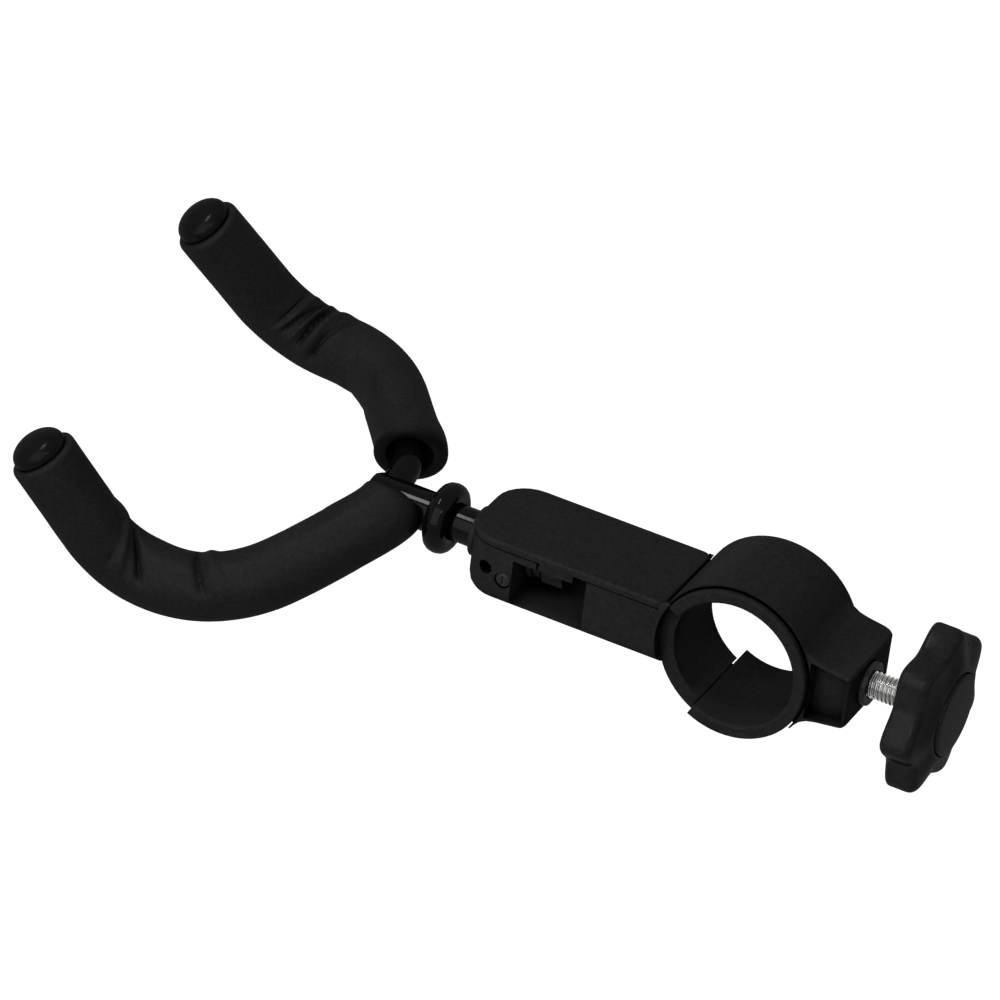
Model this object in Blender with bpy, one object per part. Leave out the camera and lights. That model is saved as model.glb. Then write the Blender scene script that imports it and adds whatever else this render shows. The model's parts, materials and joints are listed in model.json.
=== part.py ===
"""Guitar hanger that clamps on a round tube.

Axes: the origin is the centre of the clamp bore, +X runs to the clamp knob, +Y is the bore's
axis, +Z is up. Lengths are in metres.
"""
import math

import bmesh
import bpy
from mathutils import Matrix, Vector

# ---- fits ----
GAP = 0.0003               # between pieces that touch or turn on each other
PAST = 0.0020              # how far a cutter goes past what it cuts
REACH = 0.03               # half the length of a cutter that goes right through
SINK = 0.0005              # how far a joined form is sunk in its neighbour

# ---- clamp: jaw liner, collar and block ----
BORE_R = 0.0194
JAW_WALL = 0.0024
LIP_R = 0.0234
LIP_FACE_Y = -0.0164       # near face of the lip
LIP_THICK = 0.0019
LIP_ROUND = 0.0007
JAW_FAR_Y = 0.0182
JAW_FROM = -117.5          # degrees from +X towards +Z, as for the band and the saddle
JAW_TO = 151.0
BAND_WALL = 0.0024
BAND_FAR_Y = 0.0165
BAND_FROM = -36.0
BAND_TO = 155.4
GROOVE_DEPTH = 0.003
GROOVE_RIM = 0.0005
BLOCK_END_X = 0.0356
BLOCK_END_HALF = 0.0084
BLOCK_ROOT_HALF = 0.0108
BLOCK_NEAR_CORNER_R = 0.0016
BLOCK_FAR_CORNER_R = 0.0034
BLOCK_EDGE = 0.0006
BLOCK_FILLET_FROM = 33.0   # degrees on the band
BLOCK_FILLET_REACH = 0.0022
POCKET_WALL = 0.0009
POCKET_DEPTH = 0.0046
SADDLE_WALL = 0.0046
SADDLE_HALF_Y = 0.0124
SADDLE_STEP = 0.0002
SADDLE_FROM = 158.0
SADDLE_SHORT = 1.0         # the saddle ends this far before the jaw
SADDLE_LAP = 6.0           # and its outer part laps this far behind the jaw
ROOT_FROM = 150.0          # where the tongue joins the band
ROOT_TO = 160.0
GROOVE_BEFORE = 8.0        # the lip's groove starts this far before the band
GROOVE_SHORT = 3.0         # and ends this far before the tongue

# ---- arm ----
ARM_FRONT_X = -0.0865
ARM_HALF_Y = 0.0159
ARM_BOTTOM_Z = -0.0095
ARM_TOP_Z = 0.0091
ARM_CORNER_R = 0.0105
ARM_EDGE_R = 0.0045
ARM_WALL = 0.0025
ARM_FLOOR = 0.002
ARM_NOSE = 0.0168          # thickness of the front wall that holds the bush
ARM_REAR_X = -0.013        # inside the bore, which cuts it back
WINDOW_IN = 0.0400         # end of the side window, from the arm's front
WINDOW_RAIL = 0.0021
RAIL_LENGTH = 0.0072
LUG_GAP = 0.0008
LUG_LENGTH = 0.0107
LUG_DROP = 0.0023
LUG_THICK = 0.0020
COVER_REAR_X = -0.0222
COVER_REAR_R = 0.0030
COVER_THICK = 0.0022
COVER_EDGE_R = 0.0009

# ---- tongue of the collar and the cover's screws ----
TONGUE_END_X = -0.038
TONGUE_HALF_Y = 0.0118
TONGUE_BOTTOM_Z = 0.0062
COVER_BOSS_R = 0.0030
SCREW_R = 0.0015
SCREW_HEAD_R = 0.0028
SCREW_HEAD = 0.0022
COUNTERBORE = 0.0030
REAR_SCREW_X = -0.0315
REAR_SCREW_Y = 0.0072
FRONT_SCREW_IN = 0.0090    # from the arm's front
FRONT_SCREW_Y = 0.0092
FRONT_BOSS_LESS = 0.0004   # the front boss is this much smaller

# ---- swivel ----
SHAFT_Z = 0.0016
SHAFT_R = 0.0055
JOURNAL_R = 0.0040
HEAD_R = 0.0060
HEAD_REACH = 0.0056        # the shaft's head past the rod's centre
HUB_REACH = 0.0317         # hub in front of the arm
COLLAR_REACH = 0.0125      # thrust collar in front of the arm
COLLAR_R = 0.0106
COLLAR_THICK = 0.0072
COLLAR_ROUND = 0.0032
BUSH_R = 0.0060
BUSH_FLANGE_R = 0.0075
BUSH_FLANGE = 0.0015
GRUB_R = 0.0019
GRUB_IN = 0.0083           # from the arm's front
GRUB_SUNK = 0.0042
LOCK_R = 0.0015
LOCK_HEAD_R = 0.0023
LOCK_HEAD = 0.0016
LOCK_IN = 0.0142
LOCK_Z = -0.0006
WASHER_R = 0.0073
WASHER_THICK = 0.0015
SPRING_R = 0.0066
SPRING_THICK = 0.0021
NUT_FLATS = 0.013
NUT_THICK = 0.0068
THREAD_PROUD = 0.0035

# ---- yoke: bends of one arm as forward, sideways, up and bend radius ----
ROLL = math.radians(20.3)
ROD_R = 0.0045
BENDS = (
    (0.0000, 0.0158, 0.0000, 0.026),
    (0.0274, 0.0470, -0.0067, 0.040),
    (0.0599, 0.0500, -0.0096, 0.030),
)
TIP = (0.0840, 0.0476, 0.0282)
FOAM_R = 0.0100
FOAM_MOUTH_R = 0.0066
FOAM_MOUTH = 0.0060
FOAM_START_NEAR = 0.0069   # along the rod from the hub, on the -Y arm
FOAM_START_FAR = 0.0165    # the same on the +Y arm
CAP_R = 0.0082
CAP_HEIGHT = 0.0058
CAP_SKIRT = 0.0070
CAP_SKIRT_R = 0.0062

# ---- clamp screw and knob ----
THREAD_R = 0.0040
PITCH = 0.00125
THREAD_DEPTH = 0.0006
SHOE_R = 0.0080
SHOE_FACE_X = 0.0195
SHOE_THICK = 0.0050
SHOE_EDGE = 0.0008
INSERT_R = 0.0062
INSERT_FLANGE_R = 0.0068
INSERT_FLANGE = 0.0014
KNOB_BACK_X = 0.0504
KNOB_THICK = 0.0097
KNOB_R = 0.0250
KNOB_VALLEY = 0.0042
KNOB_LOBES = 7
KNOB_PHASE = math.radians(183.0)
KNOB_BACK_ROUND = 0.0018
KNOB_FRONT_ROUND = 0.0030
KNOB_BOSS_R = 0.0062
KNOB_BOSS = 0.0016
KNOB_INSERT_R = 0.0055
KNOB_INSERT = 0.0060
KNOB_DOME = 0.0022         # the front rises this far to the cap
KNOB_CAP_R = 0.0122
KNOB_CAP = 0.0012
KNOB_CAP_PROUD = 0.0009

# ---- mesh fineness ----
BORE_STEPS = 64
ROUND_STEPS = 32
SMALL_STEPS = 16
SECTOR_STEP = 5.3          # degrees
ROD_SIDES = 12
FOAM_SIDES = 16
PATH_STEP = 0.0055

JAW_R = BORE_R + JAW_WALL
BAND_IN = JAW_R + GAP
BAND_R = BAND_IN + BAND_WALL
BAND_NEAR_Y = LIP_FACE_Y + LIP_THICK + GAP
SADDLE_R = BORE_R + SADDLE_WALL
COVER_BOTTOM_Z = ARM_TOP_Z + GAP
COVER_TOP_Z = COVER_BOTTOM_Z + COVER_THICK
NOSE_END_X = ARM_FRONT_X + ARM_NOSE
WINDOW_END_X = ARM_FRONT_X + WINDOW_IN
FRONT_SCREW = (ARM_FRONT_X + FRONT_SCREW_IN, FRONT_SCREW_Y)
HUB_X = ARM_FRONT_X - HUB_REACH
COLLAR_X = ARM_FRONT_X - COLLAR_REACH
GRUB_X = ARM_FRONT_X + GRUB_IN
LOCK_X = ARM_FRONT_X + LOCK_IN


# ---------------------------------------------------------------- tools

def material(name, colour, roughness, metallic):
    """A Principled material."""
    mat = bpy.data.materials.new(name)
    mat.use_nodes = True
    shader = mat.node_tree.nodes["Principled BSDF"]
    shader.inputs["Base Color"].default_value = (*colour, 1.0)
    shader.inputs["Roughness"].default_value = roughness
    shader.inputs["Metallic"].default_value = metallic
    mat.diffuse_color = (*colour, 1.0)
    return mat


def new_object(name, bm, mat=None, smooth=35.0):
    """Turn a bmesh into a named object, with its faces pointing out."""
    bmesh.ops.recalc_face_normals(bm, faces=bm.faces)
    mesh = bpy.data.meshes.new(name)
    bm.to_mesh(mesh)
    bm.free()
    mesh.shade_smooth()
    mesh.set_sharp_from_angle(angle=math.radians(smooth))
    obj = bpy.data.objects.new(name, mesh)
    bpy.context.collection.objects.link(obj)
    if mat is not None:
        mesh.materials.append(mat)
    return obj


def loft(rings, closed=False):
    """Join rings of equal length; the ends are capped unless the loft closes on itself."""
    bm = bmesh.new()
    rows = [[bm.verts.new(p) for p in ring] for ring in rings]
    count = len(rows[0])
    pairs = list(zip(rows, rows[1:]))
    if closed:
        pairs.append((rows[-1], rows[0]))
    for low, high in pairs:
        for i in range(count):
            j = (i + 1) % count
            bm.faces.new((low[i], low[j], high[j], high[i]))
    if not closed:
        bm.faces.new(rows[0])
        bm.faces.new(rows[-1])
    return bm


def arc(centre, radius, start, end, steps):
    """Points of an arc in a plane, angles in degrees."""
    points = []
    for i in range(steps + 1):
        a = math.radians(start + (end - start) * i / steps)
        points.append((centre[0] + radius * math.cos(a), centre[1] + radius * math.sin(a)))
    return points


def turned(loop, steps, start=0.0, end=360.0, axis="X", centre=(0.0, 0.0, 0.0)):
    """Revolve a closed loop of (along, radius); angle 0 is +Y for axis X and +X for axis Y or Z."""
    full = abs(end - start) >= 360.0
    count = steps if full else steps + 1
    rings = []
    for i in range(count):
        a = math.radians(start + (end - start) * i / steps)
        c, s = math.cos(a), math.sin(a)
        ring = []
        for along, r in loop:
            place = {"X": (along, r * c, r * s), "Y": (r * c, along, r * s), "Z": (r * c, r * s, along)}[axis]
            ring.append(Vector(place) + Vector(centre))
        rings.append(ring)
    return loft(rings, closed=full)


def solid_turned(profile, steps, axis="X", centre=(0.0, 0.0, 0.0)):
    """Revolve an open profile of (along, radius) into a solid with flat ends."""
    rings = []
    for along, r in profile:
        ring = []
        for i in range(steps):
            a = 2.0 * math.pi * i / steps
            c, s = math.cos(a), math.sin(a)
            place = {"X": (along, r * c, r * s), "Y": (r * c, along, r * s), "Z": (r * c, r * s, along)}[axis]
            ring.append(Vector(place) + Vector(centre))
        rings.append(ring)
    return loft(rings)


def prism(outline, low, high, axis="Z"):
    """Extrude an outline: (x, y) along Z or (x, z) along Y."""
    rings = []
    for level in (low, high):
        if axis == "Z":
            rings.append([(x, y, level) for x, y in outline])
        else:
            rings.append([(x, level, z) for x, z in outline])
    return loft(rings)


def box(x0, x1, y0, y1, z0, z1):
    """A box between two corners."""
    return prism([(x0, y0), (x1, y0), (x1, y1), (x0, y1)], z0, z1)


def cutter(name, bm):
    """An object that only cuts others."""
    obj = new_object(name, bm)
    obj.hide_render = True
    obj.display_type = "WIRE"
    return obj


def combine(obj, other, operation="DIFFERENCE"):
    """Cut with, or add, a helper object."""
    mod = obj.modifiers.new(other.name, "BOOLEAN")
    mod.operation = operation
    mod.solver = "EXACT"
    mod.object = other


def axis_empty(name, place, turn=0.0):
    """An empty on a joint's axis, turned about X."""
    empty = bpy.data.objects.new(name, None)
    empty.location = place
    empty.rotation_euler = (turn, 0.0, 0.0)
    bpy.context.collection.objects.link(empty)
    return empty


# ---------------------------------------------------------------- materials

def make_materials():
    """The object's finishes."""
    return {
        "cast": material("black_casting", (0.018, 0.018, 0.018), 0.55, 0.0),
        "paint": material("black_gloss_paint", (0.010, 0.010, 0.010), 0.18, 0.0),
        "foam": material("black_foam", (0.016, 0.016, 0.016), 0.95, 0.0),
        "rubber": material("black_rubber", (0.010, 0.010, 0.010), 0.35, 0.0),
        "plastic": material("black_plastic", (0.016, 0.016, 0.016), 0.45, 0.0),
        "zinc": material("zinc_steel", (0.62, 0.62, 0.60), 0.28, 1.0),
        "dark_steel": material("dark_steel", (0.06, 0.06, 0.06), 0.45, 1.0),
        "brass": material("brass", (0.60, 0.45, 0.20), 0.35, 1.0),
        "nylon": material("black_nylon", (0.02, 0.02, 0.02), 0.5, 0.0),
    }


# ---------------------------------------------------------------- arm

def arm_outline(inset, rear, rear_r=0.0):
    """Plan of the arm, with a rounded front; its rear corners are square or rounded."""
    r = ARM_CORNER_R - inset
    x = ARM_FRONT_X + inset + r
    y = ARM_HALF_Y - inset - r
    half = ARM_HALF_Y - inset
    front = arc((x, y), r, 90, 180, 7) + arc((x, -y), r, 180, 270, 7)
    if rear_r <= 0.0:
        return [(rear, -half), (rear, half)] + front
    end = rear - inset
    r2 = max(rear_r - inset, 0.0001)
    corners = arc((end - r2, -half + r2), r2, 270, 360, 4) + arc((end - r2, half - r2), r2, 0, 90, 4)
    return corners + front


def rounded_slab(low, high, edge, edge_at_top, rear, rear_r=0.0):
    """A slab with the arm's plan and one rounded edge all round."""
    rings = []
    steps = 4
    for i in range(steps + 1):
        a = 0.5 * math.pi * i / steps
        inset = edge * (1.0 - math.sin(a))
        drop = edge * (1.0 - math.cos(a))
        z = high - drop if edge_at_top else low + drop
        rings.append((z, inset))
    rings.append((low if edge_at_top else high, 0.0))
    return loft([[(x, y, z) for x, y in arm_outline(inset, rear, rear_r)] for z, inset in rings])


def sector(inner, outer, near, far, start, end):
    """Part of a ring about the bore's axis."""
    loop = [(near, inner), (near, outer), (far, outer), (far, inner)]
    return turned(loop, math.ceil((end - start) / SECTOR_STEP), start, end, axis="Y")


def upright(name, x, y, radius, low, high):
    """A vertical round cutter."""
    return cutter(name, solid_turned([(low, radius), (high, radius)], SMALL_STEPS, "Z", (x, y, 0.0)))


def corner_form():
    """The arm's two top corners beside the cover's rounded rear corners."""
    low = ARM_TOP_Z - 0.5 * PAST
    corner = cutter("corner_form", rounded_slab(low, COVER_TOP_Z, COVER_EDGE_R, True, -BORE_R))
    plan = arm_outline(-GAP, COVER_REAR_X, COVER_REAR_R)
    combine(corner, cutter("corner_cover_room", prism(plan, ARM_TOP_Z - PAST, COVER_TOP_Z + PAST)))
    around = [(BAND_NEAR_Y - GAP, BAND_R + GAP), (REACH, BAND_R + GAP)]
    combine(corner, cutter("corner_band_room", solid_turned(around, BORE_STEPS, "Y")))
    return corner


def make_arm(mats):
    """The hollow arm with the saddle that is the left side of the bore."""
    past = PAST
    slab = rounded_slab(ARM_BOTTOM_Z, ARM_TOP_Z, ARM_EDGE_R, False, ARM_REAR_X)
    arm = new_object("arm_body", slab, mats["cast"])
    saddle = cutter("saddle_form", sector(BORE_R - 0.5 * past, SADDLE_R, -SADDLE_HALF_Y, SADDLE_HALF_Y,
                                          SADDLE_FROM, 360.0 + JAW_FROM - SADDLE_SHORT))
    combine(arm, saddle, "UNION")
    end = 360.0 + JAW_FROM
    lap = sector(JAW_R + GAP, SADDLE_R, -SADDLE_HALF_Y, SADDLE_HALF_Y, end - 3.0 * SADDLE_SHORT, end + SADDLE_LAP)
    combine(arm, cutter("saddle_lap", lap), "UNION")
    combine(arm, corner_form(), "UNION")
    # the bore, and the room for the lip and the collar
    combine(arm, cutter("arm_bore", solid_turned([(-REACH, BORE_R), (REACH, BORE_R)], BORE_STEPS, "Y")))
    for tag, side in (("near", -1.0), ("far", 1.0)):
        room = [(side * SADDLE_HALF_Y, SADDLE_R - SADDLE_STEP), (side * REACH, SADDLE_R - SADDLE_STEP)]
        combine(arm, cutter("ring_room_" + tag, solid_turned(room, BORE_STEPS, "Y")))
    floor = ARM_BOTTOM_Z + ARM_FLOOR
    nose = NOSE_END_X
    inner = ARM_HALF_Y - ARM_WALL
    hollow = box(nose, WINDOW_END_X, -inner, inner, floor, ARM_TOP_Z + past)
    combine(arm, cutter("front_chamber", hollow))
    window = box(nose, WINDOW_END_X, -ARM_HALF_Y - past, -inner + past, floor, ARM_TOP_Z - WINDOW_RAIL)
    combine(arm, cutter("side_window", window))
    lug_room = box(nose + RAIL_LENGTH, WINDOW_END_X, -ARM_HALF_Y - past, -inner + past,
                   0.0, ARM_TOP_Z + past)
    combine(arm, cutter("lug_room", lug_room))
    slot_end = -math.sqrt(BAND_IN ** 2 - ARM_TOP_Z ** 2) + 1.5 * GAP
    slot = box(TONGUE_END_X - GAP, slot_end, -TONGUE_HALF_Y - GAP, TONGUE_HALF_Y + GAP,
               TONGUE_BOTTOM_Z - GAP, ARM_TOP_Z + past)
    combine(arm, cutter("tongue_slot", slot))
    bush = [(ARM_FRONT_X - past, BUSH_R + GAP), (nose + past, BUSH_R + GAP)]
    combine(arm, cutter("bush_bore", solid_turned(bush, 32, "X", (0.0, 0.0, SHAFT_Z))))
    grub = [(-ARM_HALF_Y - past, GRUB_R + GAP), (0.0, GRUB_R + GAP)]
    combine(arm, cutter("grub_hole", solid_turned(grub, SMALL_STEPS, "Y", (GRUB_X, 0.0, SHAFT_Z))))
    lock = [(-ARM_HALF_Y - past, LOCK_HEAD_R + GAP), (-ARM_HALF_Y + LOCK_HEAD, LOCK_HEAD_R + GAP),
            (-ARM_HALF_Y + LOCK_HEAD, LOCK_R + GAP), (0.0, LOCK_R + GAP)]
    combine(arm, cutter("lock_hole", solid_turned(lock, SMALL_STEPS, "Y", (LOCK_X, 0.0, LOCK_Z))))
    for tag, x, y in screw_places():
        low = ARM_BOTTOM_Z - past
        combine(arm, upright("bore_" + tag, x, y, SCREW_R + GAP, low, ARM_TOP_Z + past))
        combine(arm, upright("sink_" + tag, x, y, SCREW_HEAD_R + GAP, low, ARM_BOTTOM_Z + COUNTERBORE))
    boss_x, boss_y = FRONT_SCREW
    combine(arm, upright("front_boss_room", boss_x, boss_y, COVER_BOSS_R - FRONT_BOSS_LESS + GAP,
                         TONGUE_BOTTOM_Z - GAP, ARM_TOP_Z + past))
    return arm


def screw_places():
    """The three screws that hold the cover, from below."""
    return (("cover_screw_front", *FRONT_SCREW),
            ("cover_screw_rear_near", REAR_SCREW_X, -REAR_SCREW_Y),
            ("cover_screw_rear_far", REAR_SCREW_X, REAR_SCREW_Y))


def make_cover(mats):
    """The lid of the arm, with three threaded bosses under it."""
    slab = rounded_slab(COVER_BOTTOM_Z, COVER_TOP_Z, COVER_EDGE_R, True, COVER_REAR_X, COVER_REAR_R)
    cover = new_object("arm_cover", slab, mats["cast"])
    around = [(-REACH, BAND_R + GAP), (REACH, BAND_R + GAP)]
    combine(cover, cutter("band_room", solid_turned(around, BORE_STEPS, "Y")))
    lug_x = NOSE_END_X + RAIL_LENGTH + LUG_GAP
    lug_y = -ARM_HALF_Y + GAP
    lug = box(lug_x, lug_x + LUG_LENGTH, lug_y, lug_y + LUG_THICK, ARM_TOP_Z - LUG_DROP, COVER_BOTTOM_Z + SINK)
    combine(cover, cutter("cover_lug", lug), "UNION")
    for tag, x, y in screw_places():
        radius = COVER_BOSS_R - (FRONT_BOSS_LESS if tag == "cover_screw_front" else 0.0)
        boss = upright("boss_" + tag, x, y, radius, TONGUE_BOTTOM_Z, COVER_BOTTOM_Z + SINK)
        combine(cover, boss, "UNION")
    for tag, x, y in screw_places():
        low = TONGUE_BOTTOM_Z - PAST
        combine(cover, upright("thread_" + tag, x, y, SCREW_R + GAP, low, COVER_BOTTOM_Z + SINK + GAP))
    return cover


def make_cover_screws(mats):
    """Pan-head screws, head down in the counterbores."""
    seat = ARM_BOTTOM_Z + COUNTERBORE - GAP
    for tag, x, y in screw_places():
        profile = [(seat - SCREW_HEAD, SCREW_HEAD_R - 0.0005), (seat - SCREW_HEAD + 0.0005, SCREW_HEAD_R),
                   (seat, SCREW_HEAD_R), (seat, SCREW_R), (COVER_BOTTOM_Z + 0.0003, SCREW_R)]
        new_object(tag, solid_turned(profile, SMALL_STEPS, "Z", (x, y, 0.0)), mats["zinc"])


# ---------------------------------------------------------------- clamp

def block_half(x, shrink=0.0):
    """Half the block's height, which tapers to its end."""
    slope = (BLOCK_ROOT_HALF - BLOCK_END_HALF) / (BLOCK_END_X - BORE_R)
    return BLOCK_END_HALF + slope * (BLOCK_END_X - x) - shrink


def block_outline():
    """Side view of the block, with the fillets that join it to the band."""
    start = math.radians(BLOCK_FILLET_FROM)
    first = Vector((BAND_R * math.cos(start), BAND_R * math.sin(start)))
    last_x = BAND_R + BLOCK_FILLET_REACH
    last = Vector((last_x, block_half(last_x)))
    mid_x = math.sqrt(BAND_R ** 2 - block_half(BAND_R) ** 2)
    mid = Vector((mid_x, block_half(mid_x)))
    top = [(BORE_R, first.y)]
    for i in range(4):
        t = i / 3
        top.append(tuple(first * (1 - t) ** 2 + mid * 2 * t * (1 - t) + last * t ** 2))
    top.append((BLOCK_END_X, BLOCK_END_HALF))
    return [(x, -z) for x, z in top] + top[::-1]


def pocket_outline(left):
    """Side view of the pocket in the block's near face."""
    end = BLOCK_END_X - POCKET_WALL
    return [(left, -block_half(left, POCKET_WALL)), (end, -block_half(end, POCKET_WALL)),
            (end, block_half(end, POCKET_WALL)), (left, block_half(left, POCKET_WALL))]


def block_form():
    """The block, with its end's upright edges rounded and the others broken."""
    bm = prism(block_outline(), BAND_NEAR_Y, BAND_FAR_Y, "Y")
    ends = [e for e in bm.edges if all(v.co.x > BLOCK_END_X - 1e-6 for v in e.verts)]
    upright_edges = [e for e in ends if abs(e.verts[0].co.z - e.verts[1].co.z) > BLOCK_END_HALF]
    for radius, chosen in ((BLOCK_NEAR_CORNER_R, [e for e in upright_edges if e.verts[0].co.y < 0.0]),
                           (BLOCK_FAR_CORNER_R, [e for e in upright_edges if e.verts[0].co.y > 0.0])):
        bmesh.ops.bevel(bm, geom=chosen, offset=radius, segments=3, profile=0.5, affect="EDGES")
    block = cutter("block_form", bm)
    bevel = block.modifiers.new("edges", "BEVEL")
    bevel.width = BLOCK_EDGE
    bevel.segments = 1
    bevel.limit_method = "ANGLE"
    bevel.angle_limit = math.radians(50.0)
    return block


def make_collar(mats):
    """The band over the jaw, its screw block and the tongue that the cover holds."""
    past = PAST
    band = sector(BAND_IN - 0.5 * past, BAND_R, BAND_NEAR_Y, BAND_FAR_Y, BAND_FROM, BAND_TO)
    collar = new_object("clamp_collar", band, mats["cast"])
    combine(collar, block_form(), "UNION")
    tongue = cutter("tongue_form", box(TONGUE_END_X, -BAND_IN * 0.96, -TONGUE_HALF_Y, TONGUE_HALF_Y,
                                       TONGUE_BOTTOM_Z, ARM_TOP_Z))
    combine(collar, tongue, "UNION")
    root = sector(BAND_IN - 0.5 * past, BAND_R, -TONGUE_HALF_Y, TONGUE_HALF_Y, ROOT_FROM, ROOT_TO)
    combine(collar, cutter("tongue_root", root), "UNION")
    jaw = [(-REACH, BAND_IN), (REACH, BAND_IN)]
    combine(collar, cutter("jaw_room", solid_turned(jaw, BORE_STEPS, "Y")))
    groove = sector(BAND_IN - 0.5 * past, BAND_R - GROOVE_RIM, BAND_NEAR_Y - past, BAND_NEAR_Y + GROOVE_DEPTH,
                    BAND_FROM - GROOVE_BEFORE, BAND_TO - GROOVE_SHORT)
    combine(collar, cutter("lip_groove", groove))
    outline = pocket_outline(BAND_R - BAND_WALL * 0.5)
    pocket = prism(outline, BAND_NEAR_Y - past, BAND_NEAR_Y + POCKET_DEPTH, "Y")
    combine(collar, cutter("block_pocket", pocket))
    bore = [(BORE_R - past, INSERT_R + GAP), (BLOCK_END_X + past, INSERT_R + GAP)]
    combine(collar, cutter("insert_bore", solid_turned(bore, 32)))
    shoe = [(BORE_R - past, SHOE_R + GAP), (SHOE_FACE_X + SHOE_THICK + GAP, SHOE_R + GAP)]
    combine(collar, cutter("collar_shoe_bore", solid_turned(shoe, 32)))
    for tag, x, y in screw_places()[1:]:
        combine(collar, upright("tongue_" + tag, x, y, COVER_BOSS_R + GAP, 0.0, ARM_TOP_Z + past))
    return collar


def make_jaw(mats):
    """The open ring that lines the bore, with its lip in front of the band."""
    r = LIP_ROUND
    lip_back = LIP_FACE_Y + LIP_THICK
    loop = [(LIP_FACE_Y + r, BORE_R), (LIP_FACE_Y, BORE_R + r), (LIP_FACE_Y, LIP_R - r),
            (LIP_FACE_Y + r * 0.3, LIP_R - r * 0.3), (LIP_FACE_Y + r, LIP_R), (lip_back, LIP_R),
            (lip_back, JAW_R), (JAW_FAR_Y, JAW_R), (JAW_FAR_Y, BORE_R)]
    steps = math.ceil((JAW_TO - JAW_FROM) / SECTOR_STEP)
    jaw = new_object("clamp_jaw", turned(loop, steps, JAW_FROM, JAW_TO, axis="Y"), mats["cast"])
    shoe = [(BORE_R - 3.0 * PAST, SHOE_R + GAP), (JAW_R + PAST, SHOE_R + GAP)]
    combine(jaw, cutter("jaw_shoe_bore", solid_turned(shoe, 32)))
    return jaw


# ---------------------------------------------------------------- clamp screw and knob

def make_screw(mats, parent):
    """The screw, with its thread as rings where it shows."""
    tip = SHOE_FACE_X + SHOE_THICK * 0.5
    end = KNOB_BACK_X - KNOB_BOSS + KNOB_INSERT
    root = THREAD_R - THREAD_DEPTH
    profile = [(tip, root - 0.0004), (tip + 0.0006, root)]
    start = BLOCK_END_X + INSERT_FLANGE
    x = start
    profile += [(start - 0.0006, root), (start - 0.0003, THREAD_R)]
    while x < KNOB_BACK_X - KNOB_BOSS - PITCH:
        profile += [(x + PITCH * 0.15, THREAD_R), (x + PITCH * 0.5, root), (x + PITCH * 0.85, THREAD_R)]
        x += PITCH
    profile.append((end, THREAD_R))
    screw = new_object("clamp_screw", solid_turned(profile, SMALL_STEPS), mats["zinc"])
    screw.parent = parent
    return screw


def make_insert(mats):
    """The threaded insert of the block."""
    start = SHOE_FACE_X + SHOE_THICK + GAP + 0.0006
    face = BLOCK_END_X + GAP
    bore = THREAD_R + GAP
    loop = [(start, bore), (start, INSERT_R), (face, INSERT_R), (face, INSERT_FLANGE_R),
            (face + INSERT_FLANGE, INSERT_FLANGE_R - 0.0003), (face + INSERT_FLANGE, bore)]
    return new_object("block_insert", turned(loop, 32), mats["dark_steel"])


def make_shoe(mats, parent):
    """The pressure shoe that the screw pushes on the tube."""
    back = SHOE_FACE_X + SHOE_THICK
    seat = SHOE_FACE_X + SHOE_THICK * 0.5 - GAP
    profile = [(SHOE_FACE_X, SHOE_R - SHOE_EDGE), (SHOE_FACE_X + SHOE_EDGE, SHOE_R), (back, SHOE_R)]
    shoe = new_object("pressure_shoe", solid_turned(profile, ROUND_STEPS), mats["nylon"])
    socket = [(seat, THREAD_R + GAP), (back + PAST, THREAD_R + GAP)]
    combine(shoe, cutter("shoe_socket", solid_turned(socket, SMALL_STEPS)))
    shoe.parent = parent
    return shoe


def knob_radius(angle, shrink):
    """Outline of the lobed knob: narrow lobes, wide valleys."""
    wave = 0.5 - 0.5 * math.cos(KNOB_LOBES * (angle - KNOB_PHASE))
    return KNOB_R - shrink - KNOB_VALLEY * wave ** 0.8


def make_knob(mats, parent):
    """The lobed knob with its boss, and the pocket for the cap."""
    steps = KNOB_LOBES * 8
    front = KNOB_BACK_X + KNOB_THICK
    levels = []
    for i in range(3):
        a = 0.5 * math.pi * i / 2
        inset = KNOB_BACK_ROUND * (1 - math.cos(a))
        levels.append((KNOB_BACK_X + KNOB_BACK_ROUND * (1 - math.sin(a)), inset))
    levels.reverse()
    for i in range(4):
        a = 0.5 * math.pi * i / 3
        levels.append((front - KNOB_FRONT_ROUND * (1 - math.sin(a)), KNOB_FRONT_ROUND * (1 - math.cos(a))))
    rings = []
    for x, shrink in levels:
        ring = []
        for i in range(steps):
            a = 2 * math.pi * i / steps
            r = knob_radius(a, shrink)
            ring.append((x, r * math.cos(a), r * math.sin(a)))
        rings.append(ring)
    top = front + KNOB_DOME
    rings.append([(top, (KNOB_CAP_R + 0.0009) * math.cos(a), (KNOB_CAP_R + 0.0009) * math.sin(a))
                  for a in (2 * math.pi * i / steps for i in range(steps))])
    knob = new_object("knob_body", loft(rings), mats["plastic"])
    back = KNOB_BACK_X - KNOB_BOSS
    boss = cutter("knob_boss", solid_turned([(back, KNOB_BOSS_R), (KNOB_BACK_X + 0.001, KNOB_BOSS_R)], 32))
    combine(knob, boss, "UNION")
    pocket = [(back - 0.001, KNOB_INSERT_R + GAP - 0.0008), (back + 0.0008, KNOB_INSERT_R + GAP - 0.0008)]
    combine(knob, cutter("insert_mouth", solid_turned(pocket, 32)))
    seat = [(back + 0.0004, KNOB_INSERT_R + GAP), (back + KNOB_INSERT + 0.0012, KNOB_INSERT_R + GAP)]
    combine(knob, cutter("insert_seat", solid_turned(seat, 32)))
    sink = [(top - KNOB_CAP, KNOB_CAP_R + GAP), (top + 0.001, KNOB_CAP_R + GAP)]
    combine(knob, cutter("cap_sink", solid_turned(sink, 32)))
    knob.parent = parent
    return knob


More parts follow.
